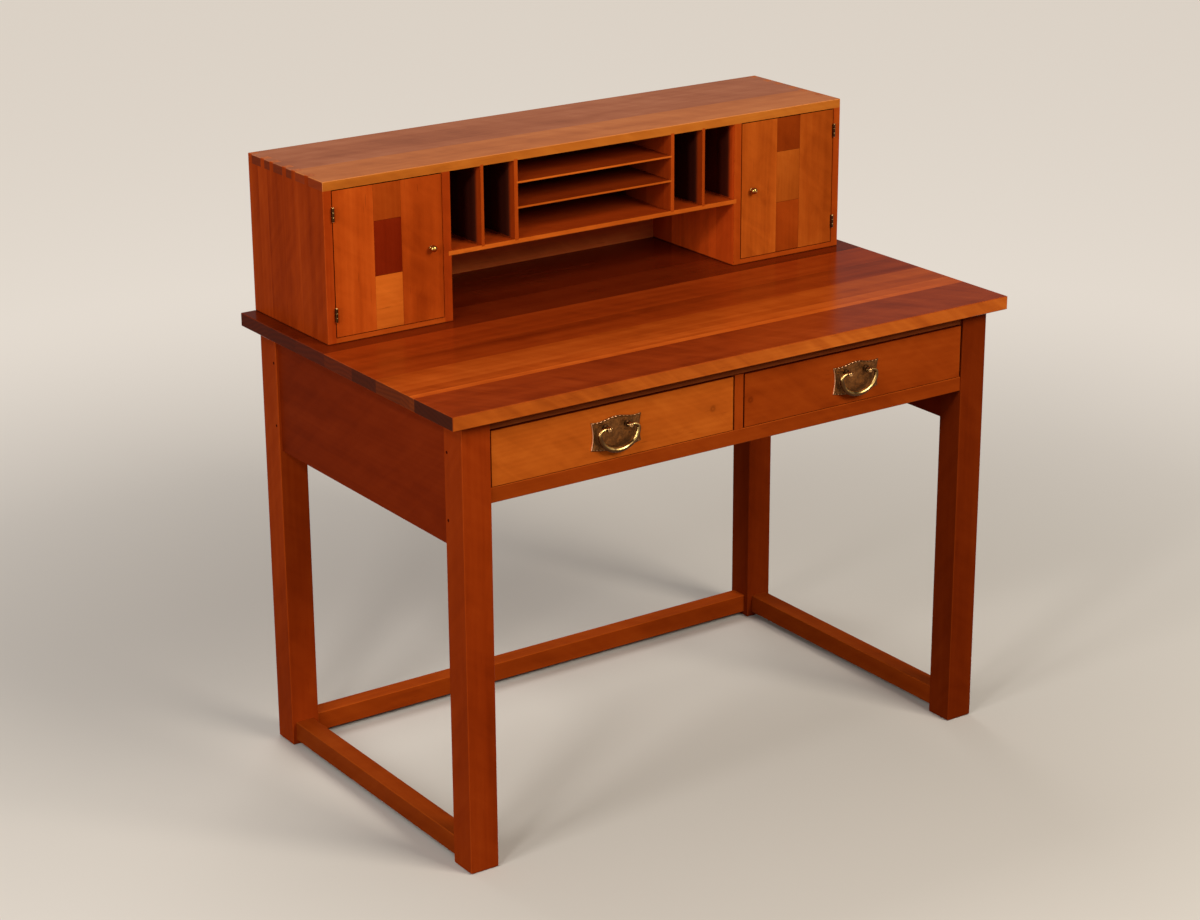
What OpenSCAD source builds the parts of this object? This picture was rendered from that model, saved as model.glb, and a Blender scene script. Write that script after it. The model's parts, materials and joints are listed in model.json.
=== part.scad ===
// Mission writing desk in cherry: a table with two drawers and a gallery with two doors.
// Origin: on the floor, under the middle of the desktop. +X right, +Y back, +Z up.

/* [Desktop] */
// Height of the writing surface above the floor
desk_h = 762; // [700:1:820]
// Width of the desktop, left to right
top_w = 1082; // [1076:1:1160]
// Depth of the desktop, front to back
top_d = 658; // [640:1:720]
// Thickness of the desktop
top_t = 22.5; // [18:0.5:28]
// Width of the front board of the desktop
front_board_w = 109; // [80:1:120]
// Width of the second board
second_board_w = 113; // [80:1:125]
// Width of the third board
third_board_w = 73; // [60:1:90]
// Width of the fourth board
fourth_board_w = 86; // [60:1:100]
// How many boards make up the rest of the desktop, under the gallery
rear_board_count = 3; // [2:1:4]
// Width of the softened corner along the outer edges
ease = 1; // [0.4:0.1:1.6]
// Thickness of a glue line between boards
glue_line = 0.05; // [0.02:0.01:0.1]

/* [Legs] */
// Side of the square legs
leg_t = 50.5; // [46:0.5:56]
// How far the desktop reaches past the legs at each end
leg_in_side = 26.5; // [15:0.5:40]
// How far the desktop reaches past the front legs
leg_in_front = 21; // [15:0.5:35]
// How far the desktop reaches past the back legs
leg_in_back = 14; // [4:0.5:30]
// Chamfer round the bottom of each leg
foot_ease = 2.5; // [1:0.5:5]

/* [Frame] */
// Height of the side and back aprons
apron_h = 205; // [180:1:240]
// Thickness of the aprons
apron_t = 20; // [18:0.5:24]
// How far the aprons stand back from the outer faces of the legs
apron_set = 5; // [2:0.5:7]
// Height of the rail over the drawers
upper_rail_h = 19; // [16:0.5:24]
// How far the upper rail stands back from the front of the legs
upper_rail_set = 6.5; // [4:0.5:10]
// Height of the rail under the drawers
lower_rail_h = 24.5; // [20:0.5:30]
// Width of the stile between the drawers
stile_w = 17; // [15:0.5:24]
// How far drawer fronts, stile and lower rail stand back from the legs
face_set = 2.8; // [1:0.2:4]
// Height of the stretchers
stretcher_h = 33.5; // [28:0.5:40]
// Thickness of the stretchers
stretcher_t = 33; // [28:0.5:36]
// How far the stretchers stand back from the outer faces of the legs
stretcher_set = 7; // [4:0.5:9]
// Gap between the stretchers and the floor
stretcher_up = 8.5; // [5:0.5:30]
// Thickness of the tenons
tenon_t = 10; // [8:0.5:12]
// Shoulder above and below a tenon
shoulder = 12; // [8:0.5:16]
// Shoulder in front of and behind the tenons of the rails
rail_shoulder = 7; // [5:0.5:9]
// Wood left between two tenons that meet in a leg
tenon_apart = 1; // [0.5:0.5:3]
// Length of the tenons of the stile
stile_tenon = 6; // [4:0.5:7]
// Diameter of the pegs
peg_d = 5; // [4:0.5:7]
// Length of the pegs
peg_len = 26; // [22:0.5:32]
// Distance from the edge of the leg to the middle of a peg
peg_edge = 8; // [6:0.5:12]
// Distance from the top of the apron down to the upper peg
peg_down = 54.5; // [30:0.5:70]
// Distance from the bottom of the apron up to the lower peg
peg_up = 42.5; // [30:0.5:60]

/* [Drawer runners] */
// How far a runner reaches under the drawer side
runner_reach = 22; // [16:1:30]
// Height of the runners, and of the guides above them
runner_h = 20; // [16:1:24]
// Gap between a drawer side and its guide
guide_gap = 0.6; // [0.4:0.1:1.5]
// Gap between a drawer side and its runner
run_gap = 0.3; // [0.3:0.1:0.8]
// Width of a drawer stop
stop_w = 30; // [20:1:40]
// Height of a drawer stop
stop_h = 7; // [5:0.5:8]
// Depth of a drawer stop
stop_d = 12; // [8:0.5:15]
// Distance from the end of the drawer front to its stop
stop_in = 90; // [60:1:120]

/* [Drawers] */
// Height of the drawer opening
opening_h = 91; // [84:0.5:100]
// Gap at each side of a drawer front
front_gap = 2.5; // [1.5:0.1:3]
// Gap over a drawer front
front_gap_top = 1.5; // [1:0.1:3]
// Gap under a drawer front
front_gap_bottom = 1; // [0.6:0.1:2]
// Thickness of the drawer fronts
front_t = 20; // [18:0.5:24]
// Length of a drawer, front face to the back of its sides
drawer_l = 500; // [420:1:520]
// Thickness of the drawer sides
side_t = 12; // [10:0.5:14]
// Thickness of the drawer back
drawer_back_t = 12; // [10:0.5:14]
// Thickness of the drawer bottom
bottom_t = 6; // [5:0.5:7]
// Height of the drawer bottom above the lower edge of the front
bottom_up = 10; // [9:0.5:14]
// Depth of the grooves for bottoms, backs and shelves
groove = 5; // [3:0.5:6]
// How much lower the sides are than the front
side_drop = 5; // [3:0.5:12]
// How much lower the back is than the sides
back_drop = 5; // [3:0.5:10]
// How far the sides run on behind the back
back_margin = 10; // [8:0.5:16]
// Wood of the front left over the ends of the dovetails
lap = 6; // [4:0.5:8]
// Number of dovetails at each corner of a drawer
drawer_tails = 3; // [2:1:3]
// Width of a drawer dovetail at its end
drawer_tail_w = 18; // [14:0.5:20]
// How much a dovetail narrows on each side
flare = 2; // [1:0.5:3]

/* [Pulls] */
// Width of the back plate
plate_w = 93; // [80:0.5:105]
// Height of the back plate at its corners
plate_h = 45; // [40:0.5:50]
// Rise of the plate's arched top above its corners
plate_arch = 3.6; // [2:0.2:5]
// Dip of the top edge next to the corners
plate_dip = 1; // [0.6:0.2:3]
// How far the middle of the plate's lower edge hangs below its corners
plate_belly = 5.5; // [2:0.5:7]
// How far the sides of the plate are drawn in
plate_waist = 3; // [1:0.5:5]
// Thickness of the back plate
plate_t = 2; // [1.5:0.1:3]
// Height of the plate's lower corners above the lower edge of the drawer front
plate_up = 20.3; // [18:0.1:22]
// Distance between the two posts
post_gap = 40.5; // [36:0.5:46]
// Height of the posts above the plate's lower corners
post_up = 32.7; // [31:0.1:34]
// Diameter of a post's head
post_head = 9; // [8:0.5:10]
// Diameter of a post's neck
post_neck = 6; // [5:0.5:7]
// Diameter of the collar at the foot of a post
post_collar = 11; // [9:0.5:13]
// Thickness of that collar
collar_t = 1.6; // [1:0.1:2]
// Diameter of the threaded rod of a post
rod_d = 4; // [3:0.5:5]
// Width of the nut across its corners
nut_w = 9; // [8:0.5:11]
// Thickness of the nut
nut_t = 3; // [2.5:0.1:4]
// Distance from the drawer front to the swing axis of the bail
pivot_out = 10; // [9.5:0.1:12]
// Diameter of the bail's pins
pin_d = 3.8; // [3:0.1:4.2]
// Radial running gap round each pin
pin_gap = 0.08; // [0.04:0.01:0.1]
// Width of the bail between the middles of its two sides
bail_w = 72; // [68:0.5:78]
// Depth of the bail from its axis to the middle of the grip
bail_drop = 36.5; // [32:0.5:40]
// Height of the bail's shoulders
bail_shoulder = 7; // [6:0.5:10]
// Diameter of the grip at its middle
bail_grip = 8; // [6:0.5:9]
// How far the bail's pins stick out inside the posts
pin_out = 1.2; // [0.6:0.2:2]

/* [Gallery] */
// How far the desktop reaches past the gallery at each end
gal_in = 27; // [10:0.5:50]
// Depth of the gallery
gal_d = 244; // [230:1:270]
// Height of the gallery
gal_h = 263.5; // [250:0.5:300]
// Thickness of the gallery top
gal_top_t = 15; // [13:0.5:18]
// Thickness of the gallery sides and partitions
gal_side_t = 14.5; // [13:0.5:17]
// Width of the front board of the gallery top
gal_front_board = 96; // [80:1:120]
// Thickness of the back panel
panel_t = 6.5; // [5:0.5:9]
// Inside width of each cabinet
cabinet_w = 201; // [180:1:220]
// Thickness of the cabinet floors
floor_t = 9; // [7:0.5:12]
// Width of the pin at the back end of each dovetail row
back_pin = 13; // [10:0.5:16]
// Width of the pins between the dovetails
pin_w = 12; // [9:0.5:14]
// Width of the wide dovetails at their ends
wide_tail = 30; // [26:0.5:32]
// Width of the narrow dovetails at their ends
narrow_tail = 18; // [14:0.5:20]
// Number of dovetails at each end of the gallery top
tail_count = 6; // [4:1:6]

/* [Pigeonholes] */
// Height of the open space under the long shelf
shelf_up = 110.3; // [95:0.5:125]
// Thickness of the long shelf
shelf_t = 7.2; // [6:0.1:9]
// Thickness of the two outer dividers
thin_t = 5.5; // [4:0.1:6.5]
// Thickness of the two inner dividers
thick_t = 7; // [6:0.1:9]
// Width of the pigeonhole next to the left cabinet
hole_1 = 57.5; // [50:0.5:65]
// Width of the second pigeonhole
hole_2 = 58.5; // [50:0.5:65]
// Width of the pigeonhole right of the letter slots
hole_3 = 58.5; // [50:0.5:65]
// Width of the pigeonhole next to the right cabinet
hole_4 = 63; // [50:0.5:70]
// Thickness of the two letter shelves
letter_t = 3.2; // [3:0.1:4]
// Height of the lowest letter slot
slot_1 = 50.3; // [40:0.1:54]
// Height of the middle letter slot
slot_2 = 38.7; // [30:0.1:44]
// Depth of the shallow grooves that hold dividers and letter shelves
dado = 2; // [1:0.2:2.4]

/* [Doors] */
// Thickness of the doors
door_t = 15; // [13:0.5:17]
// Gap round a door
door_gap = 1.5; // [1:0.1:2]
// Width of the stave on the hinge side
hinge_stave_w = 72.5; // [60:0.5:80]
// Width of the inlaid middle blocks
block_w = 50; // [40:0.5:60]
// Height of the lowest block
block_1 = 88; // [70:0.5:95]
// Height of the middle block
block_2 = 89.5; // [70:0.5:95]
// Distance from the door's free edge to its knob
knob_in = 21.5; // [18:0.5:28]
// Diameter of the knobs
knob_d = 11.5; // [9:0.5:14]
// Length of the knobs in front of the door
knob_out = 13; // [11:0.5:16]
// Diameter of the screw in the knob
knob_screw = 3.5; // [3:0.1:4]
// Length of that screw inside the knob
screw_bite = 5; // [3:0.5:6]
// Diameter of the head of that screw
knob_screw_head = 8; // [7:0.5:9]
// Thickness of the head of that screw
knob_screw_t = 2.5; // [2:0.1:3]
// Width of a door catch
catch_w = 32; // [29:0.5:38]
// Height of a door catch
catch_h = 18; // [14:0.5:24]
// Depth of a door catch
catch_d = 12; // [9:0.5:16]
// Gap between a closed door and its catch
catch_gap = 0.3; // [0.3:0.1:0.6]

/* [Hinges] */
// Height of a hinge
hinge_h = 22.5; // [20:0.5:28]
// Distance from the end of the door to the middle of its hinge
hinge_in = 37; // [30:0.5:45]
// Width of a hinge leaf
leaf_w = 11; // [9:0.5:12]
// Thickness of a hinge leaf
leaf_t = 1; // [0.8:0.1:1.2]
// Diameter of the hinge knuckle
knuckle_d = 5.5; // [5:0.1:6]
// How far the hinge axis stands in front of the gallery
hinge_out = 3.1; // [3:0.1:3.3]
// Diameter of the hinge pin
hinge_pin_d = 2; // [1.6:0.1:2.4]
// Radial gap between the pin and the knuckle of the door's leaf
hinge_gap = 0.05; // [0.03:0.01:0.09]
// Gap between two knuckles of a hinge
knuckle_gap = 0.3; // [0.3:0.05:0.5]
// Gap from the knuckle to the wood and the other leaf
leaf_gap = 0.3; // [0.25:0.05:0.5]
// Diameter of the heads at both ends of a hinge pin
pin_head_d = 3.6; // [3:0.1:4]
// Thickness of those heads
pin_head_t = 1; // [0.6:0.1:1.4]

/* [Fasteners] */
// Length of a wood screw
screw_len = 30; // [28:0.5:30]
// Diameter of a wood screw
screw_d = 4; // [3:0.5:5]
// Diameter of its head
screw_head = 8; // [7:0.5:9]
// Thickness of its head
screw_head_t = 3; // [2:0.5:4]
// How deep each screw goes into the desktop
screw_grip = 14; // [10:0.5:15]
// How deep the heads of the gallery's screws sit in the desktop
desk_sink = 3; // [2:0.5:6]
// How deep the gallery's screws go into the gallery
gallery_grip = 6.5; // [5:0.5:7]
// Distance from the middle of the desk to the outer screws of the upper rail
rail_screw_out = 320; // [260:5:380]
// Distance from the middle of the desk to the inner screws of the upper rail
rail_screw_in = 110; // [60:5:200]
// Distance from a leg to the first screw of a kicker
kicker_screw_in = 60; // [40:5:100]
// Distance from the front of the gallery to its front screws
gallery_screw_front = 50; // [30:5:70]
// Distance from the back of the gallery to its rear screws
gallery_screw_back = 60; // [40:5:80]
// Distance from the middle of the desk to the outer buttons
button_out = 360; // [300:5:410]
// Distance from the middle of the desk to the inner buttons
button_near = 160; // [80:5:240]
// Width of a button that holds the desktop
button_w = 30; // [24:1:36]
// Length of a button
button_l = 32; // [28:1:40]
// Height of a button
button_h = 20; // [19:0.5:22]
// Distance from the desktop down to the groove for the buttons
button_groove_down = 10; // [8:0.5:12]
// Height of that groove and of a button's tongue
button_tongue = 7; // [5:0.5:8]

/* [Hidden] */
$fn = 48;

// Colours of the woods and metals
cherry = "#b35a1e";
cherry_light = "#c8702a";
cherry_dark = "#8a3d14";
cherry_deep = "#6e2410";
pale_wood = "#c9a26a";
bronze = "#6b4a2a";
brass = "#c9a050";
steel = "#8c8f92";

// How far a cutter or a glued end reaches past a face
past = 1;

// Heights of the table
under = desk_h - top_t;
apron_z = under - apron_h;
upper_rail_z = under - upper_rail_h;
opening_z = upper_rail_z - opening_h;
lower_rail_z = opening_z - lower_rail_h;

// Faces of the legs and aprons
leg_x = top_w / 2 - leg_in_side;
leg_xi = leg_x - leg_t;
leg_yf = -top_d / 2 + leg_in_front;
leg_yfi = leg_yf + leg_t;
leg_yb = top_d / 2 - leg_in_back;
leg_ybi = leg_yb - leg_t;
apron_x = leg_x - apron_set;
apron_xi = apron_x - apron_t;
apron_y = leg_yb - apron_set;
apron_yi = apron_y - apron_t;
apron_tenon = leg_t - apron_set - (apron_t + tenon_t) / 2 - tenon_apart;
stretcher_tenon = leg_t - stretcher_set - (stretcher_t + tenon_t) / 2 - tenon_apart;
stretcher_shoulder = (stretcher_h - tenon_t) / 2;

// Boards of the desktop, from the front edge back
board_y = [
    -top_d / 2,
    -top_d / 2 + front_board_w,
    -top_d / 2 + front_board_w + second_board_w,
    -top_d / 2 + front_board_w + second_board_w + third_board_w,
    -top_d / 2 + front_board_w + second_board_w + third_board_w + fourth_board_w
];
rear_board_w = (top_d / 2 - board_y[4]) / rear_board_count;

// Drawers
face_y = leg_yf + face_set;
drawer_x0 = stile_w / 2 + front_gap;
drawer_x1 = leg_xi - front_gap;
drawer_xc = (drawer_x0 + drawer_x1) / 2;
front_z0 = opening_z + front_gap_bottom;
front_z1 = upper_rail_z - front_gap_top;
side_z0 = opening_z + run_gap;
side_z1 = front_z1 - side_drop;
bottom_z0 = front_z0 + bottom_up;
bottom_z1 = bottom_z0 + bottom_t;
front_yi = face_y + front_t;
drawer_ye = face_y + drawer_l;
tail_edge = 3;
tail_z0 = side_z0 + tail_edge;
tail_pitch = (side_z1 - tail_edge - tail_z0) / drawer_tails;

// Pulls
plate_z = front_z0 + plate_up;
pivot_z = plate_z + post_up;
pivot_y = face_y - pivot_out;
pin_end_x = post_gap / 2 - post_head / 2 - pin_out;
bail_rings = 48;
bail_sides = 12;
bail_clear = 0.6;
bail_swell = 0.5;

// Gallery
gal_w = top_w - 2 * gal_in;
gal_yb = top_d / 2;
gal_y = gal_yb - gal_d;
gal_z = desk_h + gal_h;
gal_zu = gal_z - gal_top_t;
gal_xi = gal_w / 2 - gal_side_t;
part_x = gal_xi - cabinet_w;
part_xi = part_x - gal_side_t;
panel_y = gal_yb - panel_t;
floor_z = desk_h + floor_t;
shelf_z = desk_h + shelf_up;
shelf_top = shelf_z + shelf_t;
letter_z1 = shelf_top + slot_1;
letter_z2 = letter_z1 + letter_t + slot_2;
divider_x = [
    -part_xi + hole_1,
    -part_xi + hole_1 + thin_t + hole_2,
    part_xi - hole_4 - thin_t - hole_3 - thick_t,
    part_xi - hole_4 - thin_t
];
divider_t = [thin_t, thick_t, thick_t, thin_t];

// Doors
door_x0 = part_x + door_gap;
door_x1 = gal_xi - door_gap;
door_z0 = floor_z + door_gap;
door_z1 = gal_zu - door_gap;
door_yi = gal_y + door_t;
block_x1 = door_x1 - hinge_stave_w;
block_x0 = block_x1 - block_w;
block_z1 = door_z0 + block_1;
block_z2 = block_z1 + block_2;
knob_x = door_x0 + knob_in;
knob_z = (door_z0 + door_z1) / 2;
hinge_x = (door_x1 + gal_xi) / 2;
hinge_y = gal_y - hinge_out;
hinge_zs = [door_z0 + hinge_in, door_z1 - hinge_in];

// Places of the screws
kicker_screw_ys = [leg_yfi + kicker_screw_in, (leg_yfi + leg_ybi) / 2, leg_ybi - kicker_screw_in];
rail_screw_xs = [-rail_screw_out, -rail_screw_in, rail_screw_in, rail_screw_out];
button_xs = [-button_out, -button_near, button_near, button_out];
gallery_screw_ys = [gal_y + gallery_screw_front, gal_yb - gallery_screw_back];
kicker_sink = upper_rail_h - (screw_len - screw_grip);
button_sink = button_h - (screw_len - screw_grip);
gallery_screw_len = top_t - desk_sink + gallery_grip;

// A box between two corners
module block(lo, hi) {
    translate(lo) cube(hi - lo);
}

// The right side as drawn, or its mirror image on the left
module on_side(side) {
    mirror([side < 0 ? 1 : 0, 0, 0]) children();
}

// A rectangle with its four corners cut off at 45 degrees
module eased_rect(lo, hi, e) {
    polygon([
        [lo[0] + e, lo[1]], [hi[0] - e, lo[1]], [hi[0], lo[1] + e], [hi[0], hi[1] - e],
        [hi[0] - e, hi[1]], [lo[0] + e, hi[1]], [lo[0], hi[1] - e], [lo[0], lo[1] + e]
    ]);
}

// A box with all twelve edges eased
module eased_block(lo, hi, e) {
    intersection() {
        translate([0, 0, lo[2]]) linear_extrude(hi[2] - lo[2])
            eased_rect([lo[0], lo[1]], [hi[0], hi[1]], e);
        translate([0, hi[1], 0]) rotate([90, 0, 0]) linear_extrude(hi[1] - lo[1])
            eased_rect([lo[0], lo[2]], [hi[0], hi[2]], e);
        translate([lo[0], 0, 0]) rotate([90, 0, 90]) linear_extrude(hi[0] - lo[0])
            eased_rect([lo[1], lo[2]], [hi[1], hi[2]], e);
    }
}

// A bar with eased long edges, lying along X or Y
module bar_x(lo, hi, e) {
    translate([lo[0], 0, 0]) rotate([90, 0, 90]) linear_extrude(hi[0] - lo[0])
        eased_rect([lo[1], lo[2]], [hi[1], hi[2]], e);
}
module bar_y(lo, hi, e) {
    translate([0, hi[1], 0]) rotate([90, 0, 0]) linear_extrude(hi[1] - lo[1])
        eased_rect([lo[0], lo[2]], [hi[0], hi[2]], e);
}

// A cylinder along +X or +Y from a point
module rod_x(p, d, l) {
    translate(p) rotate([0, 90, 0]) cylinder(d = d, h = l);
}
module rod_y(p, d, l) {
    translate(p) rotate([-90, 0, 0]) cylinder(d = d, h = l);
}

// Tenons, drawn on the right, in the legs and on the pieces that meet them
module side_apron_tenons() {
    x = (apron_x + apron_xi) / 2;
    block([x - tenon_t / 2, leg_yfi - apron_tenon, apron_z + shoulder],
          [x + tenon_t / 2, leg_ybi + apron_tenon, under - shoulder]);
}
module back_apron_tenons() {
    y = (apron_y + apron_yi) / 2;
    block([-leg_xi - apron_tenon, y - tenon_t / 2, apron_z + shoulder],
          [leg_xi + apron_tenon, y + tenon_t / 2, under - shoulder]);
}
module upper_rail_tenons() {
    z = (under + upper_rail_z) / 2;
    block([-leg_xi - apron_tenon, leg_yf + upper_rail_set + rail_shoulder, z - tenon_t / 2],
          [leg_xi + apron_tenon, leg_yfi - rail_shoulder, z + tenon_t / 2]);
}
module lower_rail_tenons() {
    z = (opening_z + lower_rail_z) / 2;
    block([-leg_xi - apron_tenon, face_y + rail_shoulder, z - tenon_t / 2],
          [leg_xi + apron_tenon, leg_yfi - rail_shoulder, z + tenon_t / 2]);
}
module side_stretcher_tenons() {
    x = leg_x - stretcher_set - stretcher_t / 2;
    z = stretcher_up + stretcher_shoulder;
    block([x - tenon_t / 2, leg_yfi - stretcher_tenon, z],
          [x + tenon_t / 2, leg_ybi + stretcher_tenon, z + tenon_t]);
}
module back_stretcher_tenons() {
    y = leg_yb - stretcher_set - stretcher_t / 2;
    z = stretcher_up + stretcher_shoulder;
    block([-leg_xi - stretcher_tenon, y - tenon_t / 2, z],
          [leg_xi + stretcher_tenon, y + tenon_t / 2, z + tenon_t]);
}
module stile_tenons() {
    block([-stile_w / 4, face_y + rail_shoulder, opening_z - stile_tenon],
          [stile_w / 4, leg_yfi - rail_shoulder, upper_rail_z + stile_tenon]);
}

// Pegs through the tenons of one side apron
module side_pegs(d) {
    for (y = [leg_yfi - peg_edge, leg_ybi + peg_edge])
        for (z = [under - peg_down, apron_z + peg_up])
            rod_x([leg_x - peg_len, y, z], d, peg_len);
}
peg_bore = peg_d + 0.1;

// One leg on the right, between two Y faces
module leg(y0, y1) {
    e = foot_ease;
    difference() {
        intersection() {
            linear_extrude(under) eased_rect([leg_xi, y0], [leg_x, y1], ease);
            translate([0, y1, 0]) rotate([90, 0, 0]) linear_extrude(y1 - y0) polygon([
                [leg_xi + e, 0], [leg_x - e, 0], [leg_x, e], [leg_x, under],
                [leg_xi, under], [leg_xi, e]
            ]);
            translate([leg_xi, 0, 0]) rotate([90, 0, 90]) linear_extrude(leg_t) polygon([
                [y0 + e, 0], [y1 - e, 0], [y1, e], [y1, under], [y0, under], [y0, e]
            ]);
        }
        side_apron_tenons();
        side_stretcher_tenons();
        side_pegs(peg_bore);
        if (y0 < 0) {
            upper_rail_tenons();
            lower_rail_tenons();
        } else {
            back_apron_tenons();
            back_stretcher_tenons();
        }
    }
}
module leg_front(side) {
    color(cherry) on_side(side) leg(leg_yf, leg_yfi);
}
module leg_back(side) {
    color(cherry) on_side(side) leg(leg_ybi, leg_yb);
}

module side_apron(side) {
    color(cherry_dark) on_side(side) difference() {
        union() {
            block([apron_xi, leg_yfi, apron_z], [apron_x, leg_ybi, under]);
            side_apron_tenons();
        }
        side_pegs(peg_bore);
    }
}

button_groove_z = under - button_groove_down - button_tongue;
module back_apron() {
    color(cherry_dark) difference() {
        union() {
            block([-leg_xi, apron_yi, apron_z], [leg_xi, apron_y, under]);
            back_apron_tenons();
        }
        block([-leg_xi + shoulder, apron_yi - past, button_groove_z],
              [leg_xi - shoulder, apron_yi + groove, button_groove_z + button_tongue]);
    }
}

module upper_front_rail() {
    color(cherry_deep) difference() {
        union() {
            block([-leg_xi, leg_yf + upper_rail_set, upper_rail_z], [leg_xi, leg_yfi, under]);
            upper_rail_tenons();
        }
        stile_tenons();
        for (x = rail_screw_xs) kicker_screw(x, rail_screw_y, screw_clear);
    }
}

module lower_front_rail() {
    color(cherry) difference() {
        union() {
            bar_x([-leg_xi, face_y, lower_rail_z], [leg_xi, leg_yfi, opening_z], ease);
            lower_rail_tenons();
        }
        stile_tenons();
    }
}

module drawer_stile() {
    color(cherry) union() {
        block([-stile_w / 2, face_y, opening_z], [stile_w / 2, leg_yfi, upper_rail_z]);
        stile_tenons();
    }
}

module side_stretcher(side) {
    x1 = leg_x - stretcher_set;
    color(cherry) on_side(side) union() {
        bar_y([x1 - stretcher_t, leg_yfi, stretcher_up],
              [x1, leg_ybi, stretcher_up + stretcher_h], ease);
        side_stretcher_tenons();
    }
}

module back_stretcher() {
    y1 = leg_yb - stretcher_set;
    color(cherry) union() {
        bar_x([-leg_xi, y1 - stretcher_t, stretcher_up],
              [leg_xi, y1, stretcher_up + stretcher_h], ease);
        back_stretcher_tenons();
    }
}

module tenon_pegs() {
    color(cherry_deep) for (side = [-1, 1]) on_side(side) side_pegs(peg_d);
}

// Runners carry the drawer sides, and their guides keep the drawers straight
runner_x = drawer_x1 - runner_reach;
guide_x = drawer_x1 + guide_gap;
module drawer_runners() {
    color(pale_wood) {
        for (side = [-1, 1]) on_side(side)
            translate([0, leg_ybi, 0]) rotate([90, 0, 0]) linear_extrude(leg_ybi - leg_yfi)
                polygon([
                    [runner_x, opening_z - runner_h], [apron_xi, opening_z - runner_h],
                    [apron_xi, opening_z + runner_h], [guide_x, opening_z + runner_h],
                    [guide_x, opening_z], [runner_x, opening_z]
                ]);
        block([-drawer_x0 - runner_reach, leg_yfi, opening_z - runner_h],
              [drawer_x0 + runner_reach, apron_yi, opening_z]);
        block([-drawer_x0 + guide_gap, leg_yfi, opening_z],
              [drawer_x0 - guide_gap, apron_yi, opening_z + runner_h]);
    }
}

module drawer_kickers() {
    color(pale_wood) difference() {
        union() {
            for (side = [-1, 1]) on_side(side)
                block([runner_x, leg_yfi, upper_rail_z], [apron_xi, leg_ybi, under]);
            block([-drawer_x0 - runner_reach, leg_yfi, upper_rail_z],
                  [drawer_x0 + runner_reach, apron_yi, under]);
        }
        kicker_screws(screw_clear);
    }
}

module drawer_stops() {
    y0 = front_yi + run_gap;
    color(pale_wood) for (side = [-1, 1])
        for (x = [drawer_x0 + stop_in, drawer_x1 - stop_in - stop_w])
            on_side(side) block([x, y0, opening_z], [x + stop_w, y0 + stop_d, opening_z + stop_h]);
}

// A wood screw pointing up, its head's lower face at the given point
screw_clear = 0.1;
module wood_screw(p, l, gap) {
    translate(p) union() {
        cylinder(d = screw_head + gap, h = screw_head_t);
        cylinder(d = screw_d + gap, h = l);
    }
    if (gap > 0) translate([p[0], p[1], p[2] - top_t]) cylinder(d = screw_head + gap, h = top_t + 0.01);
}
rail_screw_y = (leg_yf + upper_rail_set + leg_yfi) / 2;
kicker_x = (runner_x + apron_xi) / 2;
module kicker_screw(x, y, gap) {
    wood_screw([x, y, upper_rail_z + kicker_sink], screw_len, gap);
}
module kicker_screws(gap) {
    for (x = [-kicker_x, 0, kicker_x]) for (y = kicker_screw_ys) kicker_screw(x, y, gap);
}
module button_screws(gap) {
    for (x = button_xs)
        wood_screw([x, apron_yi - button_l / 2, under - button_h + button_sink], screw_len, gap);
}
module gallery_screws(gap) {
    for (x = [part_x - gal_side_t / 2, part_x + cabinet_w / 2])
        for (s = [-1, 1]) for (y = gallery_screw_ys)
            wood_screw([s * x, y, under + desk_sink], gallery_screw_len, gap);
}
module desktop_screws(gap) {
    for (x = rail_screw_xs) kicker_screw(x, rail_screw_y, gap);
    kicker_screws(gap);
    button_screws(gap);
    gallery_screws(gap);
}
module wood_screws() {
    color(steel) desktop_screws(0);
}

module desktop_buttons() {
    z0 = under - button_h;
    tongue_z = button_groove_z;
    color(pale_wood) difference() {
        for (x = button_xs) {
            block([x - button_w / 2, apron_yi - button_l, z0], [x + button_w / 2, apron_yi, under]);
            block([x - button_w / 2, apron_yi - past, tongue_z],
                  [x + button_w / 2, apron_yi + groove - past, tongue_z + button_tongue]);
        }
        button_screws(screw_clear);
    }
}

// The desktop's boards share one slab with eased outer edges
module desktop_board(y0, y1) {
    difference() {
        intersection() {
            eased_block([-top_w / 2, -top_d / 2, under], [top_w / 2, top_d / 2, desk_h], ease);
            block([-top_w / 2, y0, under], [top_w / 2, y1, desk_h]);
        }
        desktop_screws(screw_clear);
    }
}
module desktop_front_board() {
    color(cherry_dark) desktop_board(board_y[0], board_y[1]);
}
module desktop_board_2() {
    color(cherry_light) desktop_board(board_y[1], board_y[2]);
}
module desktop_board_3() {
    color(cherry) desktop_board(board_y[2], board_y[3]);
}
module desktop_board_4() {
    color(cherry_dark) desktop_board(board_y[3], board_y[4]);
}
module desktop_rear_boards() {
    color(cherry_dark) for (i = [0 : rear_board_count - 1])
        desktop_board(board_y[4] + i * rear_board_w + (i == 0 ? 0 : glue_line),
                      board_y[4] + (i + 1) * rear_board_w);
}

// Dovetails of the gallery top, counted from the back; the last one runs to the front edge
function tail_w(i) = i % 2 == 0 ? wide_tail : narrow_tail;
function tail_start(i) = i == 0 ? back_pin : tail_start(i - 1) + tail_w(i - 1) + pin_w;
module gallery_tails() {
    for (i = [0 : tail_count - 1]) {
        last = i == tail_count - 1;
        y1 = gal_yb - tail_start(i);
        y0 = last ? gal_y : y1 - tail_w(i);
        translate([0, 0, gal_zu]) linear_extrude(gal_top_t) polygon([
            [gal_xi - past, last ? y0 : y0 + flare], [gal_xi, last ? y0 : y0 + flare],
            [gal_w / 2, y0], [gal_w / 2, y1], [gal_xi, y1 - flare], [gal_xi - past, y1 - flare]
        ]);
    }
}
module gallery_envelope() {
    eased_block([-gal_w / 2, gal_y, desk_h], [gal_w / 2, gal_yb, gal_z], ease);
}
module back_panel_shape(reach) {
    block([-gal_xi - reach, panel_y, desk_h], [gal_xi + reach, gal_yb, gal_zu + reach]);
}
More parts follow.
